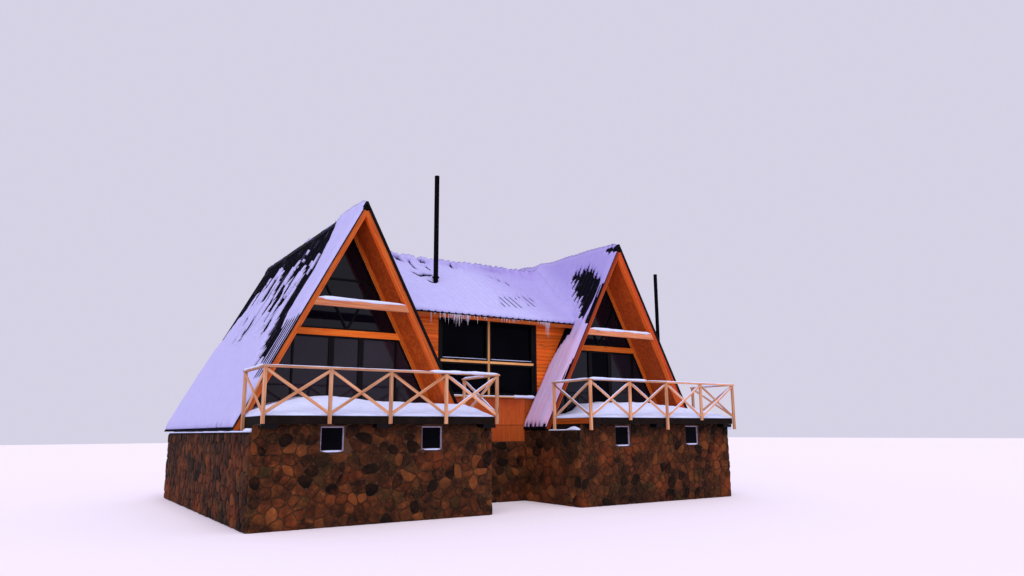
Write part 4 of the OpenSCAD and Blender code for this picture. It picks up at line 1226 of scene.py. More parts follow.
for wing, word in WINGS:
    x0, x1 = wing * WING_X - STONE_L, wing * WING_X + STONE_R
    holes = [(STONE_L + x - CELLAR_W / 2 - 0.02, STONE_L + x + CELLAR_W / 2 + 0.02,
              CELLAR_LOW - 0.03, CELLAR_HIGH + 0.02) for x in CELLAR_X[wing]]
    across_front, across_back = (x1 - x0, 0, 0), (x0 - x1, 0, 0)
    walls = [stone_wall((x0, STONE_FRONT, 0), across_front, FRONT_STONE, 100 + wing, holes, FRONT_SIZE[wing]),
             stone_wall((x1, STONE_BACK, 0), across_back, WING_STONE, 110 + wing)]
    outer, inner = (x0, x1) if wing < 0 else (x1, x0)
    sides = [(outer, wing, STONE_FRONT, STONE_BACK, 120 + wing)]
    sides += [(inner, -wing, a, b, 130 + wing + round(a))
              for a, b in ((STONE_FRONT, GABLE_Y - 0.03), (-GABLE_Y + 0.03, STONE_BACK))]
    for x, out, a, b, seed in sides:
        from_y, to_y = (b, a) if out < 0 else (a, b)
        walls.append(stone_wall((x, from_y, 0), (0, to_y - from_y, 0), WING_STONE, seed))
    place_piece(word + "_base_stones", join(walls), field_stone, "stone_wall")
walls = [stone_wall((GAP_LEFT, GABLE_Y - 0.025, 0), (GAP_RIGHT - GAP_LEFT, 0, 0), LINK_STONE, 140),
         stone_wall((GAP_RIGHT, -GABLE_Y + 0.025, 0), (GAP_LEFT - GAP_RIGHT, 0, 0), LINK_STONE, 141)]
place_piece("link_base_stones", join(walls), field_stone, "stone_wall")

# %% [markdown]
# ## Snow on the roofs
# The snow is modelled as real thickness on each slope: a grid over the slope, a thickness at each
# point, and a closed shell where there is any. Thin snow lets the roofing's ribs show through as
# dark lines, as it does on the real roof. Wind has stripped parts of the wings down to the metal,
# with ragged streaks that run down the slope.

# %% Snow helpers


def clouds(u, v, size_u, size_v, seed):
    """Smooth random values from 0 to 1, in blobs of that size."""
    grid = np.random.default_rng(seed).random((128, 128))
    a, b = u / size_u + 40, v / size_v + 40
    i, j = np.floor(a).astype(int), np.floor(b).astype(int)
    fa, fb = a - i, b - j
    fa, fb = fa * fa * (3 - 2 * fa), fb * fb * (3 - 2 * fb)
    i0, i1, j0, j1 = i % 128, (i + 1) % 128, j % 128, (j + 1) % 128
    low = grid[i0, j0] * (1 - fa) + grid[i1, j0] * fa
    high = grid[i0, j1] * (1 - fa) + grid[i1, j1] * fa
    return low * (1 - fb) + high * fb


def smooth(x, low, high):
    """0 below low, 1 above high, eased between."""
    t = np.clip((x - low) / (high - low), 0, 1)
    return t * t * (3 - 2 * t)


def inside(u, v, polygon):
    """Signed depth inside a polygon; below nothing outside."""
    best = np.full(u.shape, 1e9)
    odd = np.zeros(u.shape, bool)
    for (x0, y0), (x1, y1) in zip(polygon, polygon[1:] + polygon[:1]):
        dx, dy = x1 - x0, y1 - y0
        t = np.clip(((u - x0) * dx + (v - y0) * dy) / (dx * dx + dy * dy), 0, 1)
        best = np.minimum(best, np.hypot(u - x0 - t * dx, v - y0 - t * dy))
        cross = ((y0 > v) != (y1 > v)) & (u < (x1 - x0) * (v - y0) / np.where(y1 == y0, 1e-9, y1 - y0) + x0)
        odd ^= cross
    return np.where(odd, best, -best)


def grid_of(u_span, u_count, v_span, v_count):
    """Two grids of coordinates over a rectangle."""
    return np.meshgrid(np.linspace(*u_span, u_count), np.linspace(*v_span, v_count), indexing="ij")


def cells(values):
    """Whether all four corners of each cell hold."""
    return values[:-1, :-1] & values[1:, :-1] & values[:-1, 1:] & values[1:, 1:]


def shell(top, low, keep):
    """Verts and faces of a closed shell between two grids of points, over the cells kept. Cells that
    would touch at a corner only are joined first, so that the shell stays watertight."""
    keep = keep.copy()
    for _ in range(2):
        a, b, c, d = keep[:-1, :-1], keep[1:, 1:], keep[1:, :-1], keep[:-1, 1:]
        keep[1:, :-1] |= a & b & ~c & ~d
        keep[:-1, :-1] |= c & d & ~a & ~b
    columns = keep.shape[1] + 1
    count = top.shape[0] * columns
    points = np.concatenate([top.reshape(-1, 3), low.reshape(-1, 3)])
    faces = []
    for i, j in zip(*np.nonzero(keep)):
        a, b = i * columns + j, (i + 1) * columns + j
        c, d = b + 1, a + 1
        faces += [(a, b, c, d), (count + d, count + c, count + b, count + a)]
        for p, q, ni, nj in ((b, a, i, j - 1), (c, b, i + 1, j), (d, c, i, j + 1), (a, d, i - 1, j)):
            if not (0 <= ni < keep.shape[0] and 0 <= nj < keep.shape[1] and keep[ni, nj]):
                faces.append((p, q, count + q, count + p))
    used = np.unique(np.array([v for face in faces for v in face]))
    fresh = np.full(2 * count, -1)
    fresh[used] = np.arange(len(used))
    return points[used], [tuple(int(fresh[v]) for v in face) for face in faces]


def none_there(x, y, z):
    """No share anywhere."""
    return 0 * x


def snow_piece(name, parts, packed=none_there, rosy=none_there, stands_for=()):
    """Closed shells of snow as one smooth piece, with painted shade and a rosy painted glow as the place
    says.
    """
    verts, faces = [], []
    for points, quads in parts:
        start = len(verts)
        verts += [tuple(p) for p in points]
        faces += [tuple(start + v for v in quad) for quad in quads]
    at = np.array(verts).T
    mesh = mesh_of(name, verts, faces, smooth=True, packed=packed(*at), rosy=rosy(*at))
    if volume(mesh) < 0:
        mesh.flip_normals()
    return place_piece(name, mesh, snow, "lying_snow", *stands_for)


# %% [markdown]
# ## Where the wind has stripped the wings
# These outlines were read off the photograph with the solved camera: metres behind the roof's front
# edge, then metres down from the ridge. The left wing's outer slope is bare along its ridge and down
# one long streak behind the front edge, with crumbs of snow left in it. The right wing's inner slope
# has one bare patch near the front, a stripped verge, and a drift on its ridge. The far slopes are
# not seen and have simpler patches.

# %% Stripped places
# Heights are over the tops of the ribs: the sheet between them, and the snow's sunk underside. Ribs
# stand 0.2 m apart. Snow thinner than 6 mm is left out. The link holds 85 mm.
SHEET, UNDERSIDE, RIBS, THINNEST, LINK_SNOW = -0.025, -0.029, 0.2, 0.006, 0.085
LEFT_BARE = [(2.1, -0.3), (1.6, 0.68), (1.32, 1.5), (1.24, 2.1), (1.2, 3.0), (0.95, 3.7), (0.9, 4.25),
             (1.2, 4.45), (1.5, 4.1), (1.85, 3.5), (2.05, 3.0), (2.2, 2.3), (2.3, 1.8), (2.6, 1.35),
             (2.85, 1.55), (3.35, 1.4), (3.9, 0.9), (4.4, 1.0), (5.2, 0.9), (6.2, 0.52), (6.9, 0.8),
             (7.2, 1.15), (7.6, 1.5), (8.0, 2.2), (8.3, 2.9), (9.0, 3.2), (9.0, -0.3)]
RIGHT_BARE = [(1.76, 0.86), (1.55, 0.66), (1.07, 0.78), (0.69, 0.97), (0.24, 1.27), (0.18, 1.61), (0.2, 2.06),
              (0.3, 2.56), (0.52, 2.4), (0.9, 1.85), (1.25, 1.4)]
FAR_BARE = [(1.2, -0.3), (1.3, 1.5), (2.2, 2.2), (2.6, 1.0), (5.5, 0.8), (9.0, 1.3), (9.0, -0.3)]
LEFT_STREAKS = [[(5.35, 0.7), (5.2, 1.0), (4.8, 1.5), (4.5, 1.95), (4.4, 1.9), (4.4, 1.4), (4.35, 0.8)],
                [(3.5, 0.9), (3.55, 1.35), (3.35, 1.8), (3.2, 2.35), (3.1, 2.4), (3.0, 1.8), (2.85, 1.4)],
                [(3.27, 2.3), (3.38, 2.3), (3.4, 3.2), (3.32, 3.2)],
                [(3.95, 1.8), (4.05, 1.8), (4.35, 2.6), (4.25, 2.65)],
                [(2.75, 2.4), (2.95, 2.3), (3.0, 3.2), (2.88, 3.25)], [(6.3, 0.8), (6.6, 0.8), (6.5, 1.6)],
                [(7.0, 0.9), (7.25, 0.9), (7.15, 1.8)], [(7.6, 1.1), (7.9, 1.2), (7.75, 2.1)]]
LEFT_CRUMBS = [[(1.66, 1.15), (1.76, 1.15), (1.86, 1.45), (1.8, 1.8), (1.68, 1.8)],
               [(3.36, 0.62), (3.44, 0.62), (3.42, 0.8), (3.36, 0.8)],
               [(3.28, 0.34), (3.36, 0.34), (3.36, 0.46), (3.28, 0.46)],
               [(3.1, 0.96), (3.2, 0.96), (3.2, 1.12), (3.1, 1.12)],
               [(1.98, 1.3), (2.06, 1.3), (2.06, 1.5), (2.0, 1.5)]]
VERGE_BARE = [[(-0.1, 1.4), (0.03, 1.5), (0.09, 2.7), (-0.1, 2.85)],
              [(-0.1, 3.98), (0.0, 4.05), (0.03, 4.65), (-0.1, 4.75)],
              [(0.55, 0.05), (0.3, 0.07), (-0.05, 0.1), (-0.05, 0.2), (0.3, 0.2)]]
RIDGE_DRIFT = [[0, 0.24, 0.76, 1.3, 2.0, 2.74, 3.53, 4.18, 5.03, 5.6, 6.6, 9],
               [0.045, 0.052, 0.068, 0.08, 0.082, 0.08, 0.08, 0.1, 0.148, 0.143, 0.09, 0.05]]
print("stripped places", 3 + len(LEFT_STREAKS) + len(VERGE_BARE))

# %% [markdown]
# ## How deep the snow lies on a wing
# The depth is an even layer of about 70 to 90 mm, lumps and ripples on it, and the swelling of the
# ribs below. The bare places are taken out of it, with an edge that follows the ribs, because their
# crests blow clear first. It thins out to the roof's edges. Beside the link the small shapes fade,
# so that the snow of the two roofs meets in one smooth surface in the valley.

# %% Depth of the snow


def crest(across_ribs, first):
    """1 on the crest of each rib, 0 midway between two."""
    return 0.5 + 0.5 * np.cos((across_ribs - first) * 2 * math.pi / RIBS)


def zone(u, v, left, right, top, low, ease=0.3):
    """1 inside a soft-edged box, 0 outside."""
    return (smooth(u, left, left + ease) * (1 - smooth(u, right - ease, right))
            * smooth(v, top, top + ease) * (1 - smooth(v, low - ease, low)))


def link_roof_z(y):
    """Height of the link's roof, at the tops of its ribs."""
    return FLOOR + LINK_RIDGE - np.abs(y) * LINK_TAN


def smooth_max(a, b, width):
    """The higher of two heights, with a fillet where they meet."""
    near = np.clip(1 - np.abs(a - b) / width, 0, 1)
    return np.maximum(a, b) + near * near * width / 4


def valley(y):
    """How wide, in height, the snow rounds off the valley between a wing and the link."""
    return 0.02 + 0.8 * (1 - smooth(np.abs(y), 2.7, 3.35))


def even_snow(wing, back, down):
    """Depth of a wing's snow before the wind's small shapes."""
    depth = 0.068 + 0.02 * smooth(down, 1.5, 5.5)
    if wing > 0:
        depth += (np.interp(back, *RIDGE_DRIFT) - depth) * (1 - smooth(down, 0.0, 1.0))
    return depth


def stripped(wing, side, back, down, streaks, fingers, seed):
    """Depth inside the bare places of a slope; below nothing where snow lies."""
    if wing > 0:
        bare = inside(back, down, RIGHT_BARE if side < 0 else FAR_BARE)
        for strip in VERGE_BARE if side < 0 else []:
            bare = np.maximum(bare, inside(back, down, strip))
        return bare
    bare = inside(back, down, LEFT_BARE if side < 0 else [(x + 0.3, y * 0.8) for x, y in LEFT_BARE])
    mottled = zone(back, down, 1.9, 7.4, 0.7, 3.9, 0.6)
    gusts = clouds(back, down, 0.8, 0.9, seed + 7)
    scoured = 0.8 * (streaks - 0.62 + 0.3 * (gusts - 0.5)) + 0.35 * (fingers - 0.5)
    bare = np.maximum(bare, scoured - (1 - mottled))
    for streak in LEFT_STREAKS if side < 0 else []:
        bare = np.maximum(bare, inside(back, down, streak) + 0.05)
    for crumb in LEFT_CRUMBS if side < 0 else []:
        bare = np.minimum(bare, -0.14 - 12 * inside(back, down, crumb))
    return bare


def wing_snow(wing, side, back, down):
    """Depth of the snow on one slope, square to it, and where it lies."""
    seed = 200 + 10 * wing + side
    ribs = crest(back, 0.1)
    streaks = clouds(back, down, 0.1, 0.75, seed)
    lumps = clouds(back, down, 0.9, 1.1, seed + 1)
    ripples = clouds(back, down, 0.3, 0.35, seed + 2)
    fingers = clouds(back, down * 0.5, RIBS, 0.4, seed + 4)
    calm = np.ones(back.shape)
    if side != wing:
        y, z = back + ROOF_FRONT, FLOOR + RIDGE - down * math.sin(ROOF_PITCH)
        calm = 1 - np.clip(1 - np.abs(z - link_roof_z(y)) / 0.6, 0, 1) * (np.abs(y) < LINK_EAVE_Y)
    depth = even_snow(wing if side < 0 else -1, back, down)
    depth = depth + calm * (0.03 * (lumps - 0.5) + 0.01 * (ripples - 0.5) + 0.006 * (ribs - 0.5))
    bare = stripped(wing, side, back, down, streaks, fingers, seed)
    ragged = 0.2 * (ribs - 0.5) + 0.22 * (fingers - 0.5) + 0.12 * (streaks - 0.5)
    if wing < 0:
        depth = depth + (0.011 - depth) * zone(back, down, -0.6, 1.15, 3.0, 5.2, 0.4) * (side < 0)
    elif side < 0:
        depth = depth + (0.02 - depth) * 0.8 * zone(back, down, 0.15, 1.0, 2.5, 3.6)
        ragged = ragged * (0.15 + 0.85 * smooth(back, 0.0, 0.7)) - 0.04
    kept_ridge = 1 if wing < 0 or side > 0 else smooth(down, 0.02, 0.1)
    depth = depth * (1 - smooth(bare + ragged, -0.2, 0.0) * kept_ridge)
    if wing < 0:
        left_over = clouds(back, down * 0, 0.3, 1, seed + 6)
        depth = np.maximum(depth, 0.04 * smooth(left_over, 0.35, 0.6) * (1 - smooth(down, 0.03, 0.13)))
    verge, front_run = (0.12, 0.9) if side > 0 else (0.0, 0.2)
    depth = depth * (0.3 + 0.7 * smooth(back - verge, -0.02, front_run))
    depth = depth * (0.3 + 0.7 * smooth(ROOF_BACK - ROOF_FRONT - back, -0.02, 0.2))
    if wing > 0 and side > 0:
        depth = depth * (0.5 + 0.5 * smooth(down, 0.0, 0.35))
    foot = SLOPE_LENGTH - 0.012 - 0.07 * clouds(back, back * 0, 0.13, 1, seed + 3) - 0.06 * ribs * (wing > 0)
    depth = np.where(down > foot - 0.2, depth * (0.5 + 0.5 * smooth(foot - down, 0, 0.2)), depth)
    return depth, (depth > THINNEST) & (down < foot) & (back > verge - 0.02)


# %% [markdown]
# ## Laying the snow on the wings
# Each slope's grid is folded onto the roof. On the inner slopes it is lifted to the link's snow with
# a fillet and left out below the link's roof, except under the eaves, where some is blown in. Two
# shares go with it: painted shade darkens the wings' snow, most on the right wing, whose inner slope
# the left wing shades, and the foot of the right wing's inner slope has a rosy painted glow from the
# boards beside it.

# %% Snow on the wings


def right_packed(x, y, z):
    """Painted shade on the right wing's snow: a little less on the link's snow and at the foot."""
    on_link = 1 - smooth(z - link_roof_z(y), 0.0, 0.9)
    return 0.7 - 0.08 * on_link - 0.25 * (1 - smooth(z, 4.0, 5.2))


def right_rosy(x, y, z):
    """How rosy, a painted glow thrown from the boards: streaks at the front foot of the inner slope."""
    return (0.2 + 0.3 * clouds(y, z, 0.16, 1.1, 240)) * (1 - smooth(z, 4.2, 5.3)) * (x < WING_X) * (y < 0)


def on_slope(wing, side, back, down, height):
    """Points at a height over a slope's ribs; at the ridge they stay in its middle plane."""
    run = np.where(down < 1e-6, -height * ROOF_TAN, down)
    x = wing * WING_X + side * (run * math.cos(ROOF_PITCH) + height * math.sin(ROOF_PITCH))
    z = FLOOR + RIDGE - run * math.sin(ROOF_PITCH) + height * math.cos(ROOF_PITCH)
    return np.stack([x, back + ROOF_FRONT, z], axis=-1)


for wing, word in WINGS:
    parts = []
    for side in (-1, 1):
        back, down = grid_of((-0.012, ROOF_BACK - ROOF_FRONT + 0.012), 221, (0, SLOPE_LENGTH), 80)
        depth, keep = wing_snow(wing, side, back, down)
        high = on_slope(wing, side, back, down, SHEET + np.maximum(depth, 0.004))
        if side != wing:
            y, z = high[..., 1], high[..., 2].copy()
            over_roof = z - link_roof_z(y)
            link_top = link_roof_z(y) + (SHEET + LINK_SNOW) / math.cos(LINK_PITCH)
            rounded_off = (np.abs(y) < 3.35) & (over_roof > -0.12)
            fillet = smooth_max(z, link_top, valley(y)) - z
            high[..., 2] += fillet * smooth(depth, 0.008, 0.04) * rounded_off
            sheltered = np.maximum(-GABLE_Y + 0.06, 3.335 - 0.27 * (down - 3.08))
            under_eave = (over_roof < -0.34) & (np.abs(y) > sheltered)
            keep &= ~((np.abs(y) < LINK_EAVE_Y + 0.03) & (over_roof < -0.06)) | under_eave
        low = on_slope(wing, side, back, down, np.full(depth.shape, UNDERSIDE))
        parts.append(shell(high, low, cells(keep)))
    if wing < 0:
        # Painted shade: the left wing's snow takes an even share of it.
        snow_piece("left_wing_snow", parts, lambda x, y, z: 0.46 + 0 * x)
    else:
        snow_piece("right_wing_snow", parts, right_packed, right_rosy)

# %% [markdown]
# ## Snow on the link
# The link's roof is less steep and holds more. Where it is thin the ribs show as short dark lines,
# and everywhere they swell the surface a little. Bumps stand along its ridge, and narrow cracks run
# where the snow has begun to slide; both were read off the photograph. The snow is deeper in the
# valleys, where the wings shelter it, and it runs out over the eave and droops.

# %% Snow on the link
LINK_SLOPE = (LINK_EAVE_Y + 0.045) / math.cos(LINK_PITCH)
THIN_ON_LINK = [[(1.0, 2.45), (1.8, 2.3), (1.4, 3.3), (0.55, 3.45)],
                [(1.95, 2.3), (2.4, 2.2), (1.95, 3.1), (1.55, 3.2)],
                [(1.4, 0.1), (2.2, 0.1), (2.2, 0.36), (1.5, 0.2)],
                [(1.4, 0.8), (1.75, 0.85), (2.25, 1.4), (1.9, 1.48)],
                [(0.15, 0.1), (0.75, 0.1), (0.7, 0.4), (0.3, 0.3)]]
CRACKS = [[(-1.08, 0.27), (-1.07, 0.42), (-1.09, 0.86)], [(-0.78, 0.06), (-0.67, 0.19), (-0.5, 0.24)],
          [(-1.36, 1.2), (-1.28, 1.35), (-1.21, 1.5)], [(-1.21, 1.44), (-1.0, 1.32), (-0.76, 1.32)],
          [(-1.56, 0.13), (-1.41, 0.13), (-1.31, 0.32)], [(-0.62, 0.6), (-0.57, 0.82)],
          [(-1.05, 1.82), (-0.96, 1.94)], [(0.42, 0.12), (0.44, 0.34)], [(-1.9, 0.3), (-1.72, 0.22)]]


def on_link(turn, x, down, height):
    """Points at a height over the link's ribs; past the eave they droop."""
    run = np.where(down < 1e-6, -height * LINK_TAN, down)
    droop = 1.2 * np.maximum(down - LINK_SLOPE + 0.05, 0) ** 1.3
    y = turn * (run * math.cos(LINK_PITCH) + height * math.sin(LINK_PITCH) - 0.3 * droop)
    z = FLOOR + LINK_RIDGE - run * math.sin(LINK_PITCH) + height * math.cos(LINK_PITCH) - droop
    return np.stack([x, y, z], axis=-1)


def link_packed(x, y, z):
    """Painted shade on the link's snow: more to the right, towards the right wing, and in spots along the
    ridge.
    """
    spots = clouds(x, y, 0.16, 0.2, 351) * (1 - smooth(np.abs(y), 0.1, 0.9))
    return 0.46 + 0.2 * smooth(x + 0.4 * (z - 5), 0.8, 3.0) + 0.16 * spots


parts = []
for turn in (-1, 1):
    x, down = grid_of((-3.95, 3.95), 238, (0, LINK_SLOPE + 0.06), 64)
    ribs = crest(x, 0.0)
    lumps = clouds(x, down, 0.8, 0.9, 301 + turn)
    ripples = clouds(x, down, 0.16, 0.5, 311 + turn)
    fingers = clouds(x, down * 0.5, RIBS, 0.3, 321 + turn)
    z_roof = FLOOR + LINK_RIDGE - down * math.sin(LINK_PITCH)
    wing_z = FLOOR + RIDGE - (WING_X - np.abs(x)) * ROOF_TAN
    calm = 1 - np.clip(1 - np.abs(wing_z - z_roof) / 0.6, 0, 1)
    depth = LINK_SNOW + calm * (0.03 * (lumps - 0.5) + 0.01 * (ripples - 0.5) + 0.014 * (ribs - 0.5))
    thin = np.max([inside(x, down, place) for place in THIN_ON_LINK], axis=0)
    thin = smooth(thin + 0.25 * (fingers - 0.5) + 0.08 * (ribs - 0.5), -0.06, 0.06) * smooth(down, 0.0, 0.06)
    depth = depth + (0.019 - depth) * thin
    bumps = 0.035 + 0.05 * clouds(x, down, 0.13, 0.12, 331) + 0.016 * ribs
    depth += calm * bumps * (1 - smooth(down, 0.0, 0.3)) * (1 - 0.6 * thin * smooth(down, 0.03, 0.12))
    crack = np.min([-inside(x, down, line) for line in CRACKS], axis=0)
    sunk = 0.55 * smooth(down, 0.1, 0.35) * (1 - smooth(crack, 0.03, 0.2))
    depth *= smooth(crack, 0.01, 0.045) * (1 - sunk)
    ragged = LINK_SLOPE + 0.05 - 0.05 * clouds(x, down * 0, 0.1, 1, 341)
    depth = depth * (0.4 + 0.6 * smooth(ragged - down, -0.03, 0.14))
    wall_x = WING_X - (RIDGE + FLOOR - z_roof) / ROOF_TAN
    keep = (np.abs(x) < wall_x + 0.06) & (down < ragged) & (depth > THINNEST)
    high = on_link(turn, x, down, SHEET + np.maximum(depth, 0.004))
    back, up_wing = high[..., 1] - ROOF_FRONT, (WING_X - np.abs(x)) / math.cos(ROOF_PITCH)
    lying = np.where(x < 0, even_snow(-1, back, up_wing), even_snow(1, back, up_wing))
    wing_top = wing_z + (SHEET + lying) / math.cos(ROOF_PITCH)
    high[..., 2] = smooth_max(high[..., 2], wing_top, valley(high[..., 1]))
    parts.append(shell(high, on_link(turn, x, down, np.full(depth.shape, UNDERSIDE)), cells(keep)))
snow_piece("link_snow", parts, link_packed)

# %% [markdown]
# ## Snow on the balconies
# Drifted snow lies on the balconies. It follows the frame's own solids: low at the front edge, up
# to half a metre high from the brow in front of the roof back to the glass. Lumps and dimples are
# laid over it, and it stays below the roof's slopes.

# %% Snow on the balconies
DECK_FRONT, GLASS_FOOT, BROW_Y = -5.75, -3.1, ROOF_FRONT - 0.4
DRIFT_H, DRIFT_EDGE = 0.51, 0.06
DRIFT = {-1: ([-1, -0.72, -0.48, -0.3, -0.14, 0.06, 1], [0.15, 0.67, 0.94, 1, 0.94, 0.79, 0.75]),
         1: ([-1, -0.56, -0.45, -0.34, -0.12, 0.24, 1], [0.15, 0.32, 0.5, 0.9, 1, 0.98, 0.66])}
parts = []
for wing in (-1, 1):
    x, y = grid_of((-DECK_HALF, DECK_HALF), 96, (DECK_FRONT, GLASS_FOOT - 0.0003), 50)
    tall = DRIFT_H * np.interp(x / (DECK_HALF - 0.015), *DRIFT[wing])
    brow = 0.9 * tall
    depth = DRIFT_EDGE + (brow - DRIFT_EDGE) * np.clip((y - DECK_FRONT) / (BROW_Y - DECK_FRONT), 0, 1)
    depth += (tall - brow) * np.clip((y - BROW_Y) / (GLASS_FOOT - BROW_Y), 0, 1)
    lumps, dimples = clouds(x, y, 0.55, 0.5, 400 + wing), clouds(x, y, 0.2, 0.2, 405 + wing)
    depth += 0.05 * (lumps - 0.5) + 0.02 * (dimples - 0.5)
    depth *= 0.4 + 0.6 * smooth(np.minimum(DECK_HALF - np.abs(x), y - DECK_FRONT), 0.0, 0.12)
    under_roof = RIDGE - (np.abs(x) + across(BARGE_D + 0.002)) * ROOF_TAN
    depth = np.where(y > ROOF_FRONT, np.minimum(depth, under_roof), depth)
    low = np.stack([wing * WING_X + x, y, np.full(x.shape, FLOOR)], axis=-1)
    high = np.stack([wing * WING_X + x, y, FLOOR + np.maximum(depth, THINNEST)], axis=-1)
    parts.append(shell(high, low, cells(depth > 0.008)))
snow_piece("balcony_drifts", parts, stands_for=("left_balcony_snow", "right_balcony_snow"))

# %% [markdown]
# ## Snow on the stone's ledges
# The stone walls are wider than the storey on them. A shallow strip of snow lies on the outer ledge
# of each wing, with a lump on its front corner, and a thinner one on the right wing's inner ledge,
# beside the balcony.

# %% Snow on the ledges
LEDGE_Z = FLOOR - 0.315


def ledge_strip(x_span, y_span, count, depth_at):
    """A strip of snow on a ledge, thinner towards its long edges."""
    x, y = grid_of(x_span, 6, y_span, count)
    depth = depth_at(x, y) * (0.4 + 0.6 * smooth(np.minimum(x - x_span[0], x_span[1] - x), 0.0, 0.05))
    low = np.stack([x, y, np.full(x.shape, LEDGE_Z)], axis=-1)
    return shell(low + np.stack([0 * x, 0 * y, depth], axis=-1), low, cells(depth > 0))


def outer_depth(x, y, seed):
    """Depth on an outer ledge, with the lump at its front."""
    return 0.03 + 0.05 * clouds(x, y, 0.3, 0.4, seed) + 0.12 * (1 - smooth(y - STONE_FRONT, 0.1, 0.4))


def inner_depth(x, y):
    """Depth on the right wing's inner ledge, with a lump beside the balcony."""
    lump = 1 - smooth(np.abs(y - STONE_FRONT - 0.36), 0.0, 0.36)
    return 0.016 + 0.02 * clouds(x, y, 0.3, 0.4, 424) + 0.07 * lump


storey_half = half(-ROOF_FOOT)
all_along = (STONE_FRONT + 0.01, STONE_BACK - 0.02)
snow_piece("ledge_snow", [
    ledge_strip((-WING_X - STONE_L + 0.01, -WING_X - storey_half - 0.01), all_along, 150,
                lambda x, y: outer_depth(x, y, 419)),
    ledge_strip((WING_X + storey_half + 0.01, WING_X + STONE_R - 0.01), all_along, 150,
                lambda x, y: outer_depth(x, y, 421)),
    ledge_strip((GAP_RIGHT + 0.012, WING_X - DECK_HALF - 0.004), (STONE_FRONT + 0.03, ROOF_FRONT - 0.03), 60,
                inner_depth)])

# %% [markdown]
# ## Snow ridges
# Snow sits on everything narrow and level as a rounded ridge. The recipe sweeps a half-round outline
# along lines and lets its height swell and shrink, with rounded ends. Each line carries its own
# share of the full height.

# %% Ridge recipe
ridge_recipe, given = recipe("snow_ridges", Step=0.06, Width=0.09, Height=0.03)
lines = put(ridge_recipe, "GeometryNodeMeshToCurve", {"Mesh": given["Geometry"]})
steps = put(ridge_recipe, "GeometryNodeResampleCurve", {"Curve": lines, "Length": given["Step"]},
            mode="LENGTH")
upward = put(ridge_recipe, "GeometryNodeSetCurveNormal", {"Curve": steps}, mode="Z_UP")
circle = put(ridge_recipe, "GeometryNodeCurvePrimitiveCircle", {"Resolution": 10, "Radius": 1.0})
half_width = put(ridge_recipe, "ShaderNodeMath", {0: given["Width"], 1: 0.5}, operation="MULTIPLY")
squash = put(ridge_recipe, "ShaderNodeCombineXYZ", {"X": half_width, "Y": given["Height"], "Z": 1.0})
outline = put(ridge_recipe, "GeometryNodeTransform", {"Geometry": circle, "Scale": squash})
where = put(ridge_recipe, "GeometryNodeInputPosition")
swell = put(ridge_recipe, "ShaderNodeTexNoise",
            {"Vector": where, "Scale": 2.6, "Detail": 2, "Roughness": 0.55})
swollen = put(ridge_recipe, "ShaderNodeMapRange", {0: swell, 1: 0.3, 2: 0.7, 3: 0.75, 4: 1.2})
along = put(ridge_recipe, "GeometryNodeSplineParameter")
to_end = put(ridge_recipe, "ShaderNodeMath", {0: 1.0, 1: along}, operation="SUBTRACT")
nearest = put(ridge_recipe, "ShaderNodeMath", {0: along, 1: to_end}, operation="MINIMUM")
round_end = put(ridge_recipe, "ShaderNodeMapRange", {0: nearest, 1: 0.0, 2: 0.06, 3: 0.35, 4: 1.0})
full = put(ridge_recipe, "GeometryNodeInputNamedAttribute", {"Name": "full"}, data_type="FLOAT")
size = swollen
for share in (round_end, full):
    size = put(ridge_recipe, "ShaderNodeMath", {0: size, 1: share}, operation="MULTIPLY")
swept = put(ridge_recipe, "GeometryNodeCurveToMesh",
            {"Curve": upward, "Profile Curve": outline, "Scale": size, "Fill Caps": True})
shaded = put(ridge_recipe, "GeometryNodeSetShadeSmooth", {"Geometry": swept, "Shade Smooth": True})
serve(ridge_recipe, given, shaded)


def along_x(x0, x1, y, z):
    """A line along X."""
    return (x0, y, z), (x1, y, z)


def lay_ridges(name, lines, full, step, width, height):
    """Ridges of snow on those lines as a piece; full is each line's share of the height."""
    made = cook(line_drawing("lines", lines, full=full), ridge_recipe, snow,
                Step=step, Width=width, Height=height)
    place_piece(name, made, snow, "lying_snow")


# %% [markdown]
# ## Snow on railings and beams
# The handrails carry a ridge, higher where the wind leaves it. Thin lines lie on the right balcony's
# braces and on those of the left balcony's last bay; the others are swept clean. Each collar beam
# carries a cap.

# %% Snow on railings and beams
RAIL_SNOW = {-1: ((-2.68, 0.9, 0.5), (0.9, 2.68, 1.6)), 1: ((-2.68, -0.7, 1.6), (-0.7, 2.68, 0.8))}
rails, full = [], []
rail_z = FLOOR + RAIL_TOP + 0.002
for wing in (-1, 1):
    cx = wing * WING_X
    for x0, x1, height in RAIL_SNOW[wing]:
        rails.append(along_x(cx + x0, cx + x1, POST_Y, rail_z))
        full.append(height)
    for x in (cx - DECK_X, cx + DECK_X):
        rails.append(((x, POST_Y + 0.08, rail_z), (x, POST_Y + SIDE_BAY + 0.04, rail_z)))
        full.append(1.2)
lay_ridges("railing_snow", rails, full, 0.06, 0.088, 0.024)

brace_tops = [line for line in brace_tops if min(line[0][0], line[1][0]) > BAY - WING_X]
lay_ridges("brace_snow", brace_tops, [1.0] * len(brace_tops), 0.09, 0.034, 0.012)

beam_tops = []
for wing, top in COLLAR_TOP.items():
    cx, span = wing * WING_X, half(top, across(BARGE_D)) - 0.01
    beam_tops.append(along_x(cx - span, cx + span, ROOF_FRONT + COLLAR_T / 2, FLOOR + top))
lay_ridges("beam_snow", beam_tops, [1.0, 1.0], 0.16, 0.075, 0.05)

# %% [markdown]
# ## Snow on the windows
# Each link window has snow on its sill, with a higher lump on the right, a thin line on the lower
# sashes' heads, and frost under the head of the frame. The cellar windows have a short ridge each.

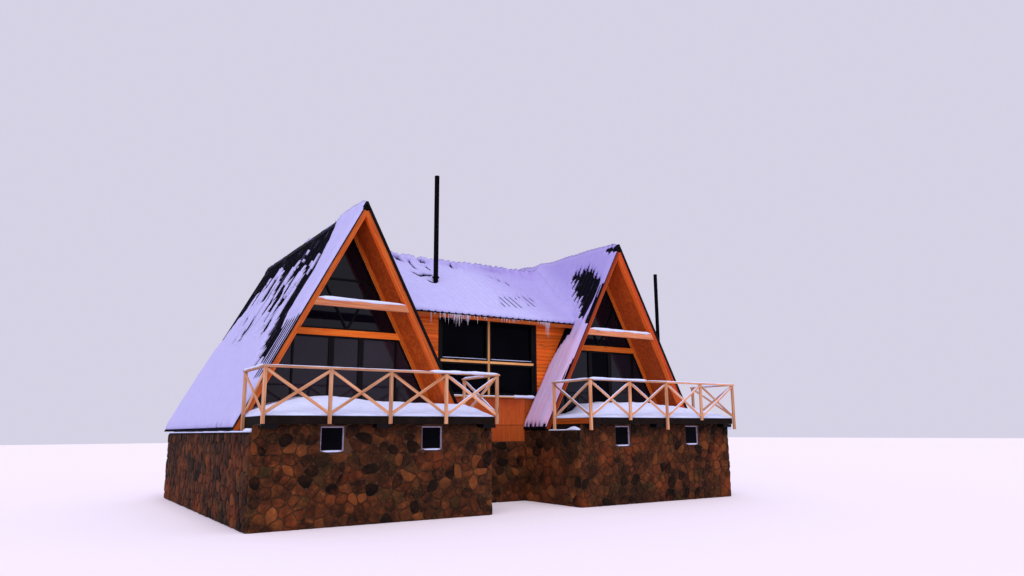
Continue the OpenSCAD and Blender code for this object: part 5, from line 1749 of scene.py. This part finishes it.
# %% Snow on the windows
sills = []
for turn in (-1, 1):
    sill_y, sash_y, head_y = (turn * (-GABLE_Y + out) for out in (0.06, 0.005, 0.079))
    sills.append(along_x(WIN_MID - 1.5, WIN_MID + 1.5, sill_y, FLOOR + SILL))
    for x0, x1 in ((WIN_MID - 1.45, WIN_MID - 0.06), (WIN_MID + 0.06, WIN_MID + 1.45)):
        sills.append(along_x(x0, x1, sash_y, FLOOR + TRANSOM + FRAME_W / 2 + 0.055))
        sills.append(along_x(x0, x1, head_y, FLOOR + HEAD - 0.012))
    sills.append(along_x(WIN_MID + 0.75, WIN_MID + 1.5, sill_y, FLOOR + SILL))
for wing in (-1, 1):
    for x in CELLAR_X[wing]:
        middle = wing * WING_X + x
        sills.append(along_x(middle - 0.2, middle + 0.2, STONE_FRONT + 0.005, CELLAR_LOW + 0.002))
lay_ridges("sill_snow", sills, [1, 0.35, 0.6, 0.35, 0.6, 1.8] * 2 + [0.8] * 4, 0.07, 0.07, 0.025)

# %% [markdown]
# ## Icicles
# Melt water runs off the link's roof where the rooms below warm it, and freezes at the eave. One
# cone is set on each point of a row, and each point carries its own length.

# %% Icicles
icicle_recipe, given = recipe("icicles", Root=0.011)
cone = put(icicle_recipe, "GeometryNodeMeshCone", {"Vertices": 7, "Side Segments": 4, "Radius Top": 0.0008,
                                                   "Radius Bottom": given["Root"], "Depth": 1.0})
drop = put(icicle_recipe, "GeometryNodeInputNamedAttribute", {"Name": "drop"}, data_type="FLOAT")
stretch = put(icicle_recipe, "ShaderNodeCombineXYZ", {"X": 1.0, "Y": 1.0, "Z": drop})
hung = put(icicle_recipe, "GeometryNodeInstanceOnPoints",
           {"Points": given["Geometry"], "Instance": cone, "Rotation": (math.pi, 0, 0), "Scale": stretch})
serve(icicle_recipe, given, hung)

# Middle, reach to each side, number and greatest length of each group along the eave.
GROUPS = ((-1.2, 0.78, 40, 0.33), (1.79, 0.1, 4, 0.5), (0.3, 1.7, 26, 0.12), (1.6, 0.35, 12, 0.16))
rng = np.random.default_rng(9)
eave_out = LINK_EAVE_Y + 0.04
eave_z = FLOOR + LINK_RIDGE - eave_out * LINK_TAN - SHEET_D / math.cos(LINK_PITCH)
roots, drops = [], []
for middle, spread, count, longest in GROUPS:
    for i in range(count):
        x = middle + spread * (rng.random() + rng.random() - 1)
        roots.append((x, rng.uniform(-0.012, 0.012) - eave_out, eave_z))
        drops.append(longest * (0.2 + 0.8 * rng.random() ** 1.5 if i else 1.0))
icicles = cook(mesh_of("icicle_roots", roots, drop=drops), icicle_recipe, ice, Root=0.012)
place_piece("eave_icicles", icicles, ice, "lying_snow")
